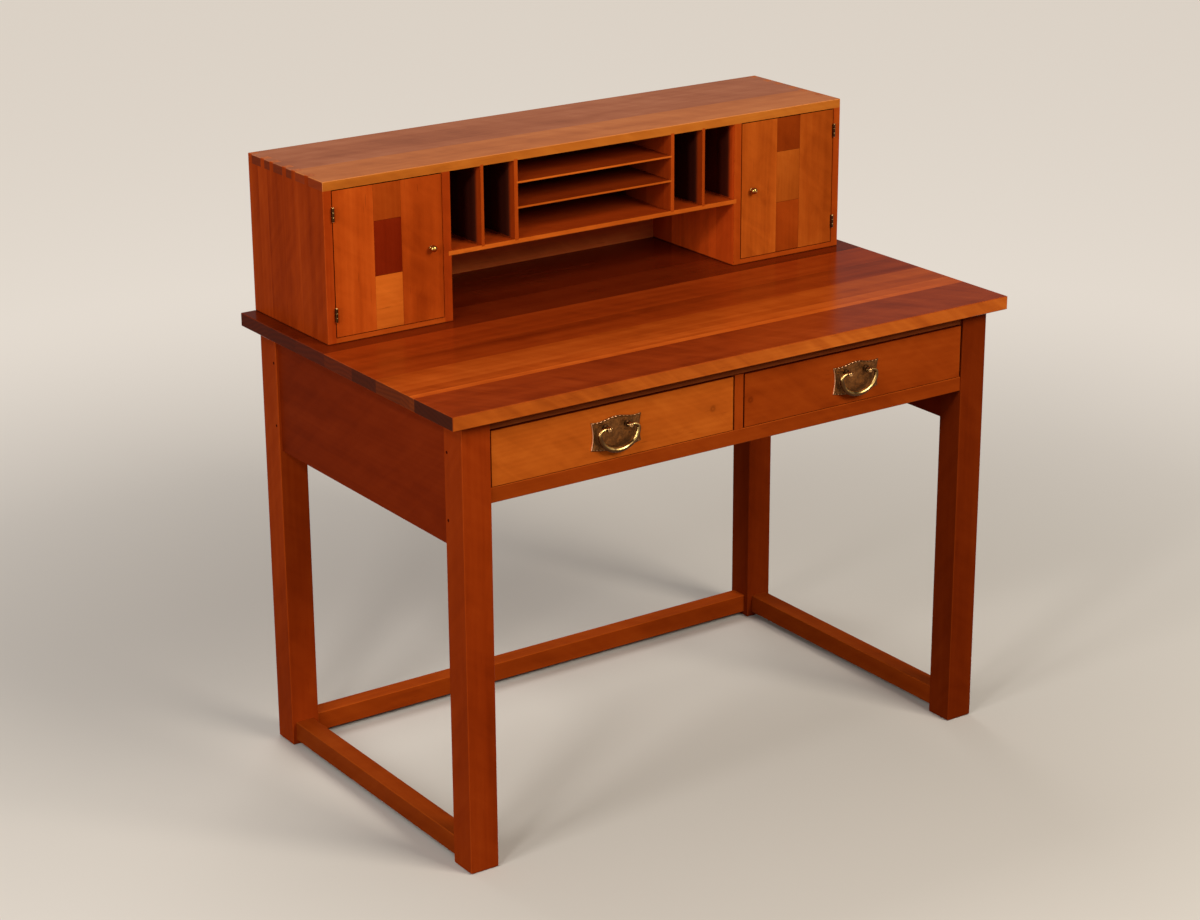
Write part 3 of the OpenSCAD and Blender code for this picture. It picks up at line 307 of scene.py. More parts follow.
class Shader:
    """Adds nodes to one material; what a method gives back is mostly the socket that it makes"""

    def __init__(self, name):
        self.material = bpy.data.materials.new(name)
        self.material.use_nodes = True
        self.tree = self.material.node_tree
        self.surface = self.tree.nodes["Principled BSDF"]
        coordinates = self.node("ShaderNodeTexCoord")
        self.spot = coordinates.outputs["Object"]
        self.facing = coordinates.outputs["Normal"]

    def node(self, kind, **settings):
        made = self.tree.nodes.new(kind)
        for key, value in settings.items():
            setattr(made, key, value)
        return made

    def put(self, socket, value):
        """Links a socket to another, or writes a plain value on it"""
        if isinstance(value, bpy.types.NodeSocket):
            self.tree.links.new(value, socket)
        elif socket.type == "RGBA" and len(value) == 3:
            socket.default_value = (*value, 1)
        else:
            socket.default_value = value

    def fill(self, node, **sockets):
        """Writes or links a node's sockets by their names, with _ for a space"""
        for name, value in sockets.items():
            self.put(node.inputs[name.replace("_", " ")], value)

    def feed(self, kind, *values, **settings):
        """Adds a node, writes or links its sockets in their order and gives back its outputs"""
        made = self.node(kind, **settings)
        for socket, value in zip(made.inputs, values):
            self.put(socket, value)
        return made.outputs

    def split(self, vector):
        """The three parts of a vector"""
        return self.feed("ShaderNodeSeparateXYZ", vector)

    def join(self, *parts):
        """A vector made of three parts"""
        return self.feed("ShaderNodeCombineXYZ", *parts)[0]

    def math(self, operation, *values):
        return self.feed("ShaderNodeMath", *values, operation=operation)[0]

    def times(self, first, second, plus=None):
        """A product, to which something may be added"""
        if plus is None:
            return self.math("MULTIPLY", first, second)
        return self.math("MULTIPLY_ADD", first, second, plus)

    def vector(self, operation, *values):
        outputs = self.feed("ShaderNodeVectorMath", *values, operation=operation)
        return outputs["Value" if operation in ("LENGTH", "DISTANCE", "DOT_PRODUCT") else "Vector"]

    def spread(self, value, low, high, start=0.0, end=1.0, curve="SMOOTHSTEP"):
        """Maps low..high to start..end, held at the ends"""
        return self.feed("ShaderNodeMapRange", value, low, high, start, end, interpolation_type=curve)[0]

    def noise(self, place, scale, detail, shift=0.0, rough=0.5, bend=0.0):
        made = self.node("ShaderNodeTexNoise", noise_dimensions="4D")
        self.fill(
            made, Vector=place, W=shift, Scale=scale, Detail=detail, Roughness=rough, Distortion=bend)
        return made.outputs[0]

    def mix(self, share, first, second, blend="MIX"):
        made = self.node("ShaderNodeMix", data_type="RGBA", blend_type=blend)
        self.put(made.inputs[0], share)
        self.put(made.inputs[6], first)
        self.put(made.inputs[7], second)
        return made.outputs[2]

    def ramp(self, value, stops, steps=False):
        """A ramp of (place, colour) stops, in hard steps if asked"""
        made = self.node("ShaderNodeValToRGB")
        band = made.color_ramp
        band.interpolation = "CONSTANT" if steps else "LINEAR"
        while len(band.elements) < len(stops):
            band.elements.new(0.5)
        for element, (place, colour) in zip(band.elements, stops):
            element.position = place
            element.color = (*colour, 1)
        self.put(made.inputs[0], value)
        return made.outputs[0]

    def bump(self, height, strength, distance):
        made = self.node("ShaderNodeBump")
        self.fill(made, Strength=strength, Distance=distance, Height=height)
        return made.outputs[0]

    def finish(self, **sockets):
        """Writes or links the shader's own sockets and gives back the material"""
        self.fill(self.surface, **sockets)
        return self.material


def shaded(colour, lift):
    """The colour made lighter or darker"""
    return tuple(channel * lift for channel in colour)


def blended(first, second, share):
    """A colour between two others"""
    return tuple(a + (b - a) * share for a, b in zip(first, second))


def darker_cherry(tone):
    """The dark streaks of a board of this tone"""
    return (tone[0] * 0.5, tone[1] * 0.36, tone[2] * 0.3)


def lighter_cherry(tone):
    """The light streaks of a board of this tone"""
    return (min(1.0, tone[0] * 1.42), tone[1] * 1.75, tone[2] * 2.1)


class Cherry(Shader):
    """Nodes for wood with its grain along one axis"""

    def __init__(self, name, grain, seed):
        super().__init__(name)
        self.axes = self.split(self.spot)
        self.normals = [self.math("ABSOLUTE", part) for part in self.split(self.facing)]
        self.grain = AXES.index(grain)
        self.along = self.axes[self.grain]
        self.across, self.deep = (self.axes[axis] for axis in range(3) if axis != self.grain)
        self.seed = seed
        self.shift = seed

    def stave_lift(self, staves, span, axis):
        """How light the stave at a place is; each stave also gets grain of its own"""
        low, high = span
        share = self.spread(self.axes[AXES.index(axis)], low, high, curve="LINEAR")
        stops = [((start - low) / (high - low), (level / 2,) * 3) for start, level in staves]
        step = self.ramp(share, stops, steps=True)
        self.shift = self.times(step, 37.0, self.seed)
        return self.times(step, 2.0)

    def grained(self, length_scale, cross_scale):
        """Places stretched so that marks of size 1 have these numbers to a metre"""
        return self.join(
            self.times(self.along, length_scale),
            self.times(self.across, cross_scale),
            self.times(self.deep, cross_scale))

    def marks(self, length_scale, cross_scale, detail, **looks):
        """Noise with so many features a metre, along the grain and across it"""
        return self.noise(self.grained(length_scale, cross_scale), 1.0, detail, self.shift, **looks)

    def growth_rings(self):
        """The wave of the growth rings, round a heart that wanders along the board"""
        wander = self.marks(1.6, 5.0, 2.0)
        heart = self.join(
            0.0,
            self.math("ADD", self.across, self.times(wander, 0.05)),
            self.math("ADD", self.deep, self.times(wander, 0.09, 0.035)))
        centre = (0.0, 0.013 * math.sin(7.1 * self.seed + 0.4), 0.013 * math.cos(4.3 * self.seed))
        radius = self.vector("LENGTH", self.vector("SUBTRACT", heart, centre))
        turns = self.times(radius, 760.0, self.times(wander, 16.0))
        return self.times(self.math("SINE", turns), 0.5, 0.5)

    def figure(self, rings, streaks, mottle, blotch):
        """How light the wood is at a place, where 0.5 is plain, from rings, fibres, long streaks and
        mottling that lies across the grain"""
        self.rings = self.growth_rings()
        self.fibre = self.marks(9.0, 330.0, 3.0, rough=0.62)
        self.streak = self.marks(1.3, 34.0, 3.0, rough=0.55, bend=0.3)
        slant = self.times(self.across, 0.7, self.along)
        slant = self.times(self.deep, 1.3, slant)
        skewed = self.join(
            self.times(slant, 34.0),
            self.times(self.across, 12.0),
            self.times(self.deep, 12.0))
        self.cloud = self.noise(skewed, 1.0, 2.5, self.shift, rough=0.5, bend=0.6)
        spots = self.noise(
            self.grained(13.0, 30.0), 1.0, 3.0, self.math("ADD", self.shift, 5.0), rough=0.55, bend=0.8)
        patch = self.marks(2.2, 7.0, 1.5)
        ring_strength = self.times(self.spread(patch, 0.35, 0.6), rings)
        level = 0.5
        weights = ((self.rings, ring_strength), (self.fibre, 0.14), (self.streak, streaks * 1.8),
                   (self.cloud, mottle), (spots, blotch), (patch, 0.6))
        for value, weight in weights:
            level = self.times(self.math("SUBTRACT", value, 0.5), weight, level)
        return level

    def toned(self, level, tone):
        """Wood of one tone, between its dark and its light streaks"""
        return self.ramp(level, ((0.0, darker_cherry(tone)), (0.5, tone), (1.0, lighter_cherry(tone))))

    def gum_flecks(self):
        """How dark the flecks of gum are at a place"""
        fleck = self.marks(26.0, 420.0, 1.0)
        return self.times(self.spread(fleck, 0.69, 0.78), 0.3)

    def knot_ring(self, centre):
        """How dark the faint knot round a point is at a place"""
        reach = self.vector("DISTANCE", self.spot, centre)
        reach = self.times(self.math("SUBTRACT", self.fibre, 0.5), 3 * MM, reach)
        ring = self.spread(reach, 2.5 * MM, 7.5 * MM, 1.0, 0.0)
        eye = self.spread(reach, 0.8 * MM, 3.0 * MM, 0.4, 1.0)
        return self.times(self.times(ring, eye), 0.35)

    def end_grain(self, dark, light):
        """Rings and pores, as a sawn end shows them"""
        pores = self.noise(self.vector("MULTIPLY", self.spot, (900.0,) * 3), 1.0, 1.0)
        level = self.times(self.rings, 0.35, self.times(pores, 0.6))
        return self.ramp(level, ((0.0, dark), (1.0, light)))

    def edge_wear_and_highlight(self, worn):
        """How rubbed a place is, as edge wear and painted highlight: eased edges are neither flat nor
        square to an axis
        """
        widest = self.math("MAXIMUM", self.math("MAXIMUM", *self.normals[:2]), self.normals[2])
        edge = self.spread(widest, 0.72, 0.95, 1.0, 0.0)
        return self.times(edge, self.spread(self.streak, 0.3, 0.6, 0.5 * worn, worn))

    def pigeonhole_shade(self, front, sill, middle, half_bay):
        """How much painted shade a pigeonhole puts on a place: behind front, above sill and outside the
        middle bay
        """
        aside = self.math("ABSOLUTE", self.math("SUBTRACT", self.axes[0], middle))
        inner = self.spread(aside, half_bay + 1 * MM, half_bay + 2 * MM)
        inner = self.times(inner, self.spread(self.axes[1], front, front + 10 * MM))
        inner = self.times(inner, self.spread(self.axes[2], sill, sill + 2 * MM))
        return self.times(inner, 0.88)


def cherry(name, tone, grain, seed, lift=1.0, staves=(), span=(0.0, 1.0), stave_axis="Y",
           rings=0.05, streaks=0.3, mottle=0.35, blotch=0.35, end_lift=0.4, end_tone=None,
           edge_tone=None, knot=None, lacquer=False, foot=None, hollow=None):
    """Lacquered cherry with its grain along one axis.

    staves are (start in metres, lift) steps along stave_axis within span; edge_tone is another
    tone on the faces that look to the front and back; knot is a point with a faint knot;
    end_lift is how dark the end grain is, unless end_tone gives its colour; lacquer is for the
    glossier tops; foot is the height of a joint along which a dark line of painted shade goes;
    hollow is where the sides of the pigeonholes lie, which get painted shade.
    """
    wood = bpy.context.scene.desk_wood
    s = Cherry(name, grain, seed)
    if staves:
        stave_lift = s.stave_lift(staves, span, stave_axis)
    level = s.figure(rings, streaks, mottle, blotch)
    base = shaded(tone, lift)
    dark, light = darker_cherry(base), lighter_cherry(base)
    colour = s.toned(level, base)
    if edge_tone is not None:
        colour = s.mix(s.spread(s.normals[1], 0.6, 0.8), colour, s.toned(level, edge_tone))
    colour = s.mix(s.gum_flecks(), colour, dark)
    if knot is not None:
        colour = s.mix(s.knot_ring(knot), colour, dark)

    # End grain drinks the finish and is darker
    end = s.spread(s.normals[s.grain], 0.8, 0.95)
    end_dark, end_light = shaded(dark, end_lift * 1.1), shaded(base, end_lift * 1.3)
    if end_tone is not None:
        end_dark, end_light = shaded(end_tone, 0.8), shaded(end_tone, 1.1)
    colour = s.mix(end, colour, s.end_grain(end_dark, end_light))
    if staves:
        tint = s.join(
            stave_lift, s.math("POWER", stave_lift, 1.35), s.math("POWER", stave_lift, 1.5))
        colour = s.mix(1.0, colour, tint, "MULTIPLY")
    # Eased edges go paler: edge wear, and painted highlight where light catches them
    colour = s.mix(s.edge_wear_and_highlight(wood.worn), colour, light)
    # Painted shade: a dark line along the joint where the piece stands on the desktop
    if foot is not None:
        rub_and_painted_light = s.spread(s.axes[2], foot + 0.6 * MM, foot + 2.2 * MM, 0.92, 0.0)
        colour = s.mix(rub_and_painted_light, colour, shaded(dark, 0.12))
    # Painted shade: the pigeonholes' sides are darkened where shadow falls inside them
    if hollow is not None:
        colour = s.mix(s.pigeonhole_shade(*hollow), colour, wood.pigeonhole_shade_colour)

    gloss, ior = (wood.gloss, wood.lacquer_ior) if lacquer else (wood.gloss + 0.15, wood.rubbed_ior)
    smoothness = s.times(s.fibre, 0.1, gloss - 0.05)
    smoothness = s.times(end, 0.4, smoothness)
    grain_height = s.times(s.cloud, 0.6, s.times(s.fibre, 0.5))
    return s.finish(
        Base_Color=colour, Roughness=smoothness, Normal=s.bump(grain_height, 0.12, 0.35 * MM),
        IOR=ior, Specular_IOR_Level=wood.sheen_level, Specular_Tint=wood.sheen_tint,
    )


def maple(name, grain, seed):
    """Plain pale maple, as the drawers' insides have"""
    pale = bpy.context.scene.desk_wood.pale
    return cherry(name, pale, grain, seed, rings=0.2, streaks=0.15, mottle=0.15, end_lift=0.75)


def metal(name, tone, dark, rough, cell, worn=0.5, seed=0.0, dent=0.1, rubbed=None,
          highlight_facing=(-0.62, -0.35, 0.7), crest=None):
    """Metal with patina in patches and a slightly uneven surface.

    rubbed is the colour of the faces that look the way lean points: painted highlight where light
    catches them, and rubbed metal too; crest is the depth y behind which hands don't reach and the
    colour stays off, except on the faces turned to the left, which keep it as painted highlight.
    """
    s = Shader(name)
    patch = s.noise(s.spot, 1 / cell, 3.0, seed, rough=0.6)
    fine = s.noise(s.spot, 5 / cell, 2.0, seed + 3)
    share = s.times(fine, 0.35, s.times(patch, 0.65))
    share = s.spread(share, 0.35, 0.62)
    colour = s.mix(s.times(share, worn), tone, dark)
    if rubbed is not None:
        # Painted highlight, also rubbed metal: faces turned the given way get the bright colour
        rub_and_painted_light = s.spread(s.vector("DOT_PRODUCT", s.facing, highlight_facing), 0.35, 0.7)
        if crest is None:
            rub_and_painted_light = s.times(rub_and_painted_light, s.spread(patch, 0.35, 0.5))
        else:
            # Faces turned to the left keep the painted highlight at any depth
            left = s.spread(s.vector("DOT_PRODUCT", s.facing, (-1, 0, 0)), 0.6, 0.8)
            reach = s.spread(s.split(s.spot)[1], crest, crest + 0.15 * MM, 1.0, 0.0)
            rub_and_painted_light = s.times(rub_and_painted_light, s.math("MAXIMUM", reach, left))
        colour = s.mix(rub_and_painted_light, colour, rubbed)
    return s.finish(
        Base_Color=colour, Metallic=1.0, Roughness=s.times(share, 0.15, rough),
        Normal=s.bump(s.times(fine, 0.3, patch), dent, 0.4 * MM),
    )


def steel(name, seed, dark=0.5, rough=0.3, cell=4 * MM):
    """Plain steel, as screws, nuts and catches have"""
    tone = bpy.context.scene.desk_metal.steel
    return metal(name, tone, shaded(tone, dark), rough, cell, seed=seed)


def finish_node(name, material):
    """Gives a CAD node one material, in every slot that it has"""
    mesh = frame["nodes"][name].data
    if not mesh.materials:
        mesh.materials.append(material)
    for slot in range(len(mesh.materials)):
        mesh.materials[slot] = material


def finish_wood(node, tone, grain, seed, staves=(), stave_axis="Y", **looks):
    """Gives a CAD node cherry of its own; its staves are (distance from its low side, lift) steps"""
    axis = AXES.index(stave_axis)
    low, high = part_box(node)
    steps = [(low[axis] + start, lift) for start, lift in staves]
    finish_node(node, cherry(
        f"{node}_cherry", tone, grain, seed, staves=steps, span=(low[axis], high[axis]),
        stave_axis=stave_axis, **looks))


# Pieces

class DESK_OT_desktop(bpy.types.Operator):
    """Finish the glued-up desktop, board by board"""
    bl_idname = "desk.desktop"
    bl_label = "Desktop"

    def execute(self, context):
        wood = context.scene.desk_wood
        finish_wood(
            "desktop_front_board", wood.auburn, "X", 2.3, lift=0.94, mottle=0.9, streaks=0.35,
            end_lift=0.2, edge_tone=shaded(wood.golden, 0.86), lacquer=True)
        finish_wood(
            "desktop_board_2", blended(wood.orange, wood.golden, 0.1), "X", 5.1, lift=0.8,
            staves=((0, 1.3), (14 * MM, 1.08), (40 * MM, 0.97)), streaks=0.75, mottle=0.5,
            end_lift=0.34, lacquer=True)
        finish_wood(
            "desktop_board_3", wood.russet, "X", 8.7, lift=0.74, streaks=0.6, end_lift=0.23,
            lacquer=True)
        finish_wood(
            "desktop_board_4", wood.russet, "X", 11.9, lift=0.84, streaks=0.6, end_lift=0.36,
            lacquer=True)
        # The rear boards are darkened: painted shade where the gallery stands over them
        finish_wood(
            "desktop_rear_boards", wood.red, "X", 14.2, lift=0.52,
            staves=((0, 1.0), (92.3 * MM, 0.85), (184.7 * MM, 0.92)), streaks=0.4, end_lift=0.56,
            lacquer=True)
        return {"FINISHED"}


class DESK_OT_table_frame(bpy.types.Operator):
    """Finish the legs, aprons, rails and stretchers, and the parts inside"""
    bl_idname = "desk.table_frame"
    bl_label = "Table Frame"

    def execute(self, context):
        wood = context.scene.desk_wood
        # The right-hand legs get darker copies of the tone: painted shade standing for the light falling
        # off to the right
        legs = (("front_left", 0.8), ("front_right", 0.47), ("back_left", 0.88), ("back_right", 0.58))
        for count, (leg, lift) in enumerate(legs):
            finish_wood(f"leg_{leg}", wood.russet, "Z", 21.3 + 2.7 * count, lift=lift)
        for count, side in enumerate(SIDES):
            finish_wood(f"side_apron_{side}", wood.red, "Y", 33.1 + 3.1 * count, lift=0.69)
            finish_wood(f"side_stretcher_{side}", wood.orange, "Y", 49.5 + 2.2 * count, lift=0.6)
        finish_wood("back_apron", wood.red, "X", 40.4)
        # The upper rail is lifted above its brown: painted light in the shade under the top's overhang
        finish_wood("upper_front_rail", wood.brown, "X", 42.9, lift=1.5)
        finish_wood("lower_front_rail", wood.orange, "X", 44.6, lift=0.63)
        finish_wood("drawer_stile", wood.orange, "Z", 46.8, lift=0.75)
        finish_wood("back_stretcher", wood.orange, "X", 54.2, lift=0.8)
        finish_wood("tenon_pegs", wood.maroon, "X", 56.0, end_lift=0.3)
        inner = maple("inner_maple", "Y", 58.3)
        for node in ("drawer_runners", "drawer_kickers", "drawer_stops", "desktop_buttons"):
            finish_node(node, inner)
        finish_node("wood_screws", steel("screw_steel", 0.0, dark=0.4, cell=6 * MM))
        return {"FINISHED"}


def pigeonhole_sides():
    """Where the pigeonholes' sides that get painted shade lie: behind a depth y, above the shelf, and
    outside the letter shelves' bay
    """
    low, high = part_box("letter_shelves")
    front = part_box("pigeonhole_dividers")[0].y + 10 * MM
    return front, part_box("gallery_shelf")[1].z, (low.x + high.x) / 2, (high.x - low.x) / 2


class DESK_OT_gallery(bpy.types.Operator):
    """Finish the gallery: top, sides, partitions, shelves and back"""
    bl_idname = "desk.gallery"
    bl_label = "Gallery"

    def execute(self, context):
        wood = context.scene.desk_wood
        finish_wood(
            "gallery_top_front_board", blended(wood.rose, wood.honey, 0.45), "X", 61.1,
            streaks=0.35, end_tone=shaded(wood.russet, 0.72), edge_tone=shaded(wood.honey, 0.78),
            lacquer=True)
        finish_wood(
            "gallery_top_rear_board", wood.rose, "X", 63.7, lift=0.92, streaks=0.35,
            end_tone=shaded(wood.russet, 0.48), lacquer=True)
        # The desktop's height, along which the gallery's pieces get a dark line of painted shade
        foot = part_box("gallery_side_left")[0].z
        fronts = {
            "left": (shaded(wood.russet, 0.95), shaded(wood.russet, 0.92)),
            "right": (shaded(wood.orange, 0.84), shaded(wood.orange, 0.88)),
        }
        for side in SIDES:
            finish_wood(
                f"gallery_side_{side}", wood.russet, "Z", 66.2, lift=0.95, streaks=0.7,
                staves=((0, 0.96), (33 * MM, 0.94), (78 * MM, 1.03), (129 * MM, 0.98),
                        (181 * MM, 1.04), (211 * MM, 1.0)),
                edge_tone=fronts[side][0], end_tone=shaded(wood.rose, 1.1), foot=foot)
            finish_wood(
                f"gallery_partition_{side}", wood.russet, "Z", 71.5, lift=1.8,
                staves=((0, 1.0), (6 * MM, 0.85), (50 * MM, 1.15), (98 * MM, 1.0),
                        (153 * MM, 1.1), (180 * MM, 0.8)),
                edge_tone=fronts[side][1], foot=foot, hollow=pigeonhole_sides())
        finish_wood("gallery_shelf", wood.russet, "X", 76.3, edge_tone=wood.golden)
        finish_wood(
            "cabinet_floors", wood.russet, "X", 78.8, edge_tone=shaded(wood.orange, 0.84), foot=foot)
        # The back panel is lifted far above its brown: painted light in the shaded space under the shelf
        finish_wood("gallery_back_panel", wood.brown, "X", 81.2, lift=4.2)
        # The dividers' staves go darker towards the back: painted shade deeper in the pigeonholes
        finish_wood(
            "pigeonhole_dividers", wood.russet, "Z", 83.9, lift=0.9,
            staves=((0, 1.0), (20 * MM, 0.95), (70 * MM, 0.7), (130 * MM, 0.4)),
            edge_tone=shaded(wood.orange, 0.85), hollow=pigeonhole_sides())
        finish_wood("letter_shelves", wood.russet, "X", 86.4, lift=0.68, edge_tone=wood.golden)
        return {"FINISHED"}


def inlay(side, blocks):
    """A door's three middle blocks from the lowest up, each with its tone, seed and grain"""
    maroon = bpy.context.scene.desk_wood.maroon
    low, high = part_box(f"{side}_door_blocks")
    seams = (low.z, low.z + 88 * MM, low.z + 177.5 * MM, high.z)
    slit, ease = 0.05 * MM, 0.35 * MM
    bm = bmesh.new()
    materials = []
    for index, (tone, seed, grain) in enumerate(blocks):
        below = (low.x + 0.03 * MM, low.y, seams[index] + slit)
        above = (high.x - 0.03 * MM, high.y, seams[index + 1] - slit)
        eased_box(bm, below, above, ease, index)
        materials.append(cherry(
            f"{side}_block_{index}_cherry", maroon, grain, seed, lift=0.4, mottle=0.4,
            edge_tone=tone))
    make_piece(f"{side}_door_inlay", bm, f"{side}_door", "cherry", materials, f"{side}_door_blocks")


class DESK_OT_doors(bpy.types.Operator):
    """Finish the doors' staves and make their inlaid middle blocks"""
    bl_idname = "desk.doors"
    bl_label = "Doors"

    def execute(self, context):
        wood = context.scene.desk_wood
        doors = (("left", wood.orange, 91.3, 0.97, 0.84), ("right", wood.golden, 93.8, 0.85, 0.7))
        for side, tone, seed, left_lift, right_lift in doors:
            low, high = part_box(f"{side}_door_staves")
            # Dark maroon on all faces but the front and back: painted shade in the gaps round the doors
            finish_wood(
                f"{side}_door_staves", wood.maroon, "Z", seed, lift=0.4,
                staves=((0, left_lift), ((high.x - low.x) / 2, right_lift)), stave_axis="X",
                streaks=0.4, mottle=0.45, blotch=0.5, edge_tone=tone)
        inlay("left", (
            (wood.golden, 96.1, "X"),
            (shaded(wood.maroon, 1.03), 97.4, "Z"),
            (shaded(wood.orange, 0.72), 98.9, "Z")))
        inlay("right", (
            (shaded(wood.orange, 0.74), 101.2, "Z"),
            (shaded(wood.golden, 0.73), 102.7, "Z"),
            (shaded(wood.orange, 0.6), 104.1, "Z")))
        return {"FINISHED"}


class DESK_OT_drawers(bpy.types.Operator):
    """Finish the drawers, fronts and boxes"""
    bl_idname = "desk.drawers"
    bl_label = "Drawers"

    def execute(self, context):
        wood = context.scene.desk_wood
        tones = {"left": shaded(wood.golden, 0.87), "right": shaded(wood.orange, 0.67)}
        for count, side in enumerate(SIDES):
            low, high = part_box(f"{side}_drawer_front")
            knot_x = {"left": high.x - 40 * MM, "right": low.x + 12 * MM}[side]
            # Dark maroon on all faces but the front and back: painted shade in the gaps round the drawers
            finish_wood(
                f"{side}_drawer_front", wood.maroon, "X", 107.7 + 5.3 * count, lift=0.5, mottle=0.4,
                blotch=0.5, streaks=0.2, edge_tone=tones[side], knot=(knot_x, low.y, high.z - 45 * MM))
            finish_node(f"{side}_drawer_sides", maple(f"{side}_side_maple", "Y", 112.1 + count))
            across = maple(f"{side}_back_maple", "X", 115.4 + count)
            finish_node(f"{side}_drawer_back", across)
            finish_node(f"{side}_drawer_bottom", across)
        return {"FINISHED"}


PLATE_HALF = 46.5 * MM    # half the width of a pull plate at its corners
PLATE_TALL = 45 * MM      # its height at its corners
PLATE_BELLY = 5.5 * MM    # how far its lower edge hangs below its corners
RIM = 2.4 * MM            # how wide its raised rim is
RELIEF = 0.55 * MM        # how far its face stands back from the rim
OUTLINE_BACK = 0.9 * MM   # how far its outline lies back


def plate_edge_top(u):
    """Height of a pull plate's top edge above its lower corners, u from -1 to 1"""
    rise = abs(u)
    if rise < 0.75:
        return (44 + 4.6 * math.cos(math.radians(90 * rise / 0.75)) ** 2) * MM
    return (44 + ((rise - 0.75) / 0.25) ** 2) * MM


def plate_point(u, v):
    """A point of the pull plate's face, u across and v up, in the plate's own plane"""
    half = PLATE_HALF - 3 * MM * math.sin(math.pi * v)
    low = -PLATE_BELLY * (1 - u * u)
    return u * half, low + (plate_edge_top(u) - low) * v


def hammered(x, z, pitch, depth, seed):
    """Depth of the overlapping round hammer marks at a point of a plate"""
    cell = noise.voronoi(Vector((x / pitch, z / pitch, seed)), distance_metric="DISTANCE", exponent=2.5)
    nearest = cell[0][0]
    return depth * (1 - min(1.0, nearest / 0.62) ** 2)


class DESK_OT_pull_plates(bpy.types.Operator):
    """Make the hammered back plates of the drawer pulls, with their marked rims"""
    bl_idname = "desk.pull_plates"
    bl_label = "Pull Plates"

    columns: IntProperty(name="Columns", description="Faces across a plate", default=150, min=30, max=300)
    rows: IntProperty(name="Rows", description="Faces up a plate", default=76, min=16, max=150)

    def height(self, x, z, edge, run, metals, seed):
        """How far the face stands in from the plate's front plane; run is the distance along the
        top or bottom rim, None on the plain side rims, of which the left is the fuller"""
        if edge == 0:
            return OUTLINE_BACK
        dent = hammered(x, z, metals.hammer_pitch, metals.hammer_depth, seed)
        if edge >= RIM:
            return RELIEF + dent
        if run is None:
            bead = 1.0 if x < 0 else 0.3
        else:
            bead = 0.5 + 0.5 * math.cos(2 * math.pi * run / metals.bead_pitch)
            bead *= 1.0 if x < 12 * MM else 0.6
        return RELIEF * (1 - math.sin(math.pi * edge / RIM) * bead) + dent * (edge / RIM)

    def plate(self, bm, corner, thick, metals, seed):
        """Fills a bmesh with one plate: its face, its flat back and the edge all round"""
        front, back, margin = {}, {}, {}
        for row, column in product(range(self.rows + 1), range(self.columns + 1)):
            u, v = 2 * column / self.columns - 1, row / self.rows
            x, z = plate_point(u, v)
            edge_x, edge_z = (1 - abs(u)) * PLATE_HALF, min(v, 1 - v) * PLATE_TALL
            edge = min(edge_x, edge_z)
            depth = self.height(x, z, edge, x if edge_z < edge_x else None, metals, seed)
            spot = (row, column)
            front[spot] = bm.verts.new((corner.x + x, corner.y + depth, corner.z + z))
            back[spot] = bm.verts.new((corner.x + x, corner.y + thick, corner.z + z))
            margin[spot] = edge
        for row, column in product(range(self.rows), range(self.columns)):
            spots = ((row, column), (row, column + 1), (row + 1, column + 1), (row + 1, column))
            face = bm.faces.new([front[spot] for spot in spots])
            face.material_index = 1 if min(margin[spot] for spot in spots) < 2 * MM else 0
            bm.faces.new([back[spot] for spot in spots])
        outline = [(0, column) for column in range(self.columns)]
        outline += [(row, self.columns) for row in range(self.rows)]
        outline += [(self.rows, column) for column in range(self.columns, 0, -1)]
        outline += [(row, 0) for row in range(self.rows, 0, -1)]
        for here, after in zip(outline, outline[1:] + outline[:1]):
            face = bm.faces.new((front[here], front[after], back[after], back[here]))
            face.material_index = 1

    def execute(self, context):
        metals = context.scene.desk_metal
        field = metal("plate_bronze", metals.bronze, metals.patina, 0.42, 7 * MM, worn=0.75, dent=0.2)
        # The rims' bright copper on faces turned up and to the left is painted highlight, standing for
        # rubbed copper as well
        rim = metal(
            "plate_rim_copper", shaded(metals.bronze, 0.5), metals.patina, 0.32, 3 * MM, worn=0.6,
            seed=4, rubbed=metals.copper, crest=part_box("left_pull_plate")[0].y + 0.36 * MM)
        for count, side in enumerate(SIDES):
            low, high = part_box(f"{side}_pull_plate")
            corner = Vector(((low.x + high.x) / 2, low.y, low.z + PLATE_BELLY))
            bm = bmesh.new()
            self.plate(bm, corner, high.y - low.y, metals, 3.1 + count)
            make_piece(
                f"{side}_hammered_plate", bm, f"{side}_drawer", "bronze", (field, rim),
                f"{side}_pull_plate", smooth_angle=50)
        return {"FINISHED"}


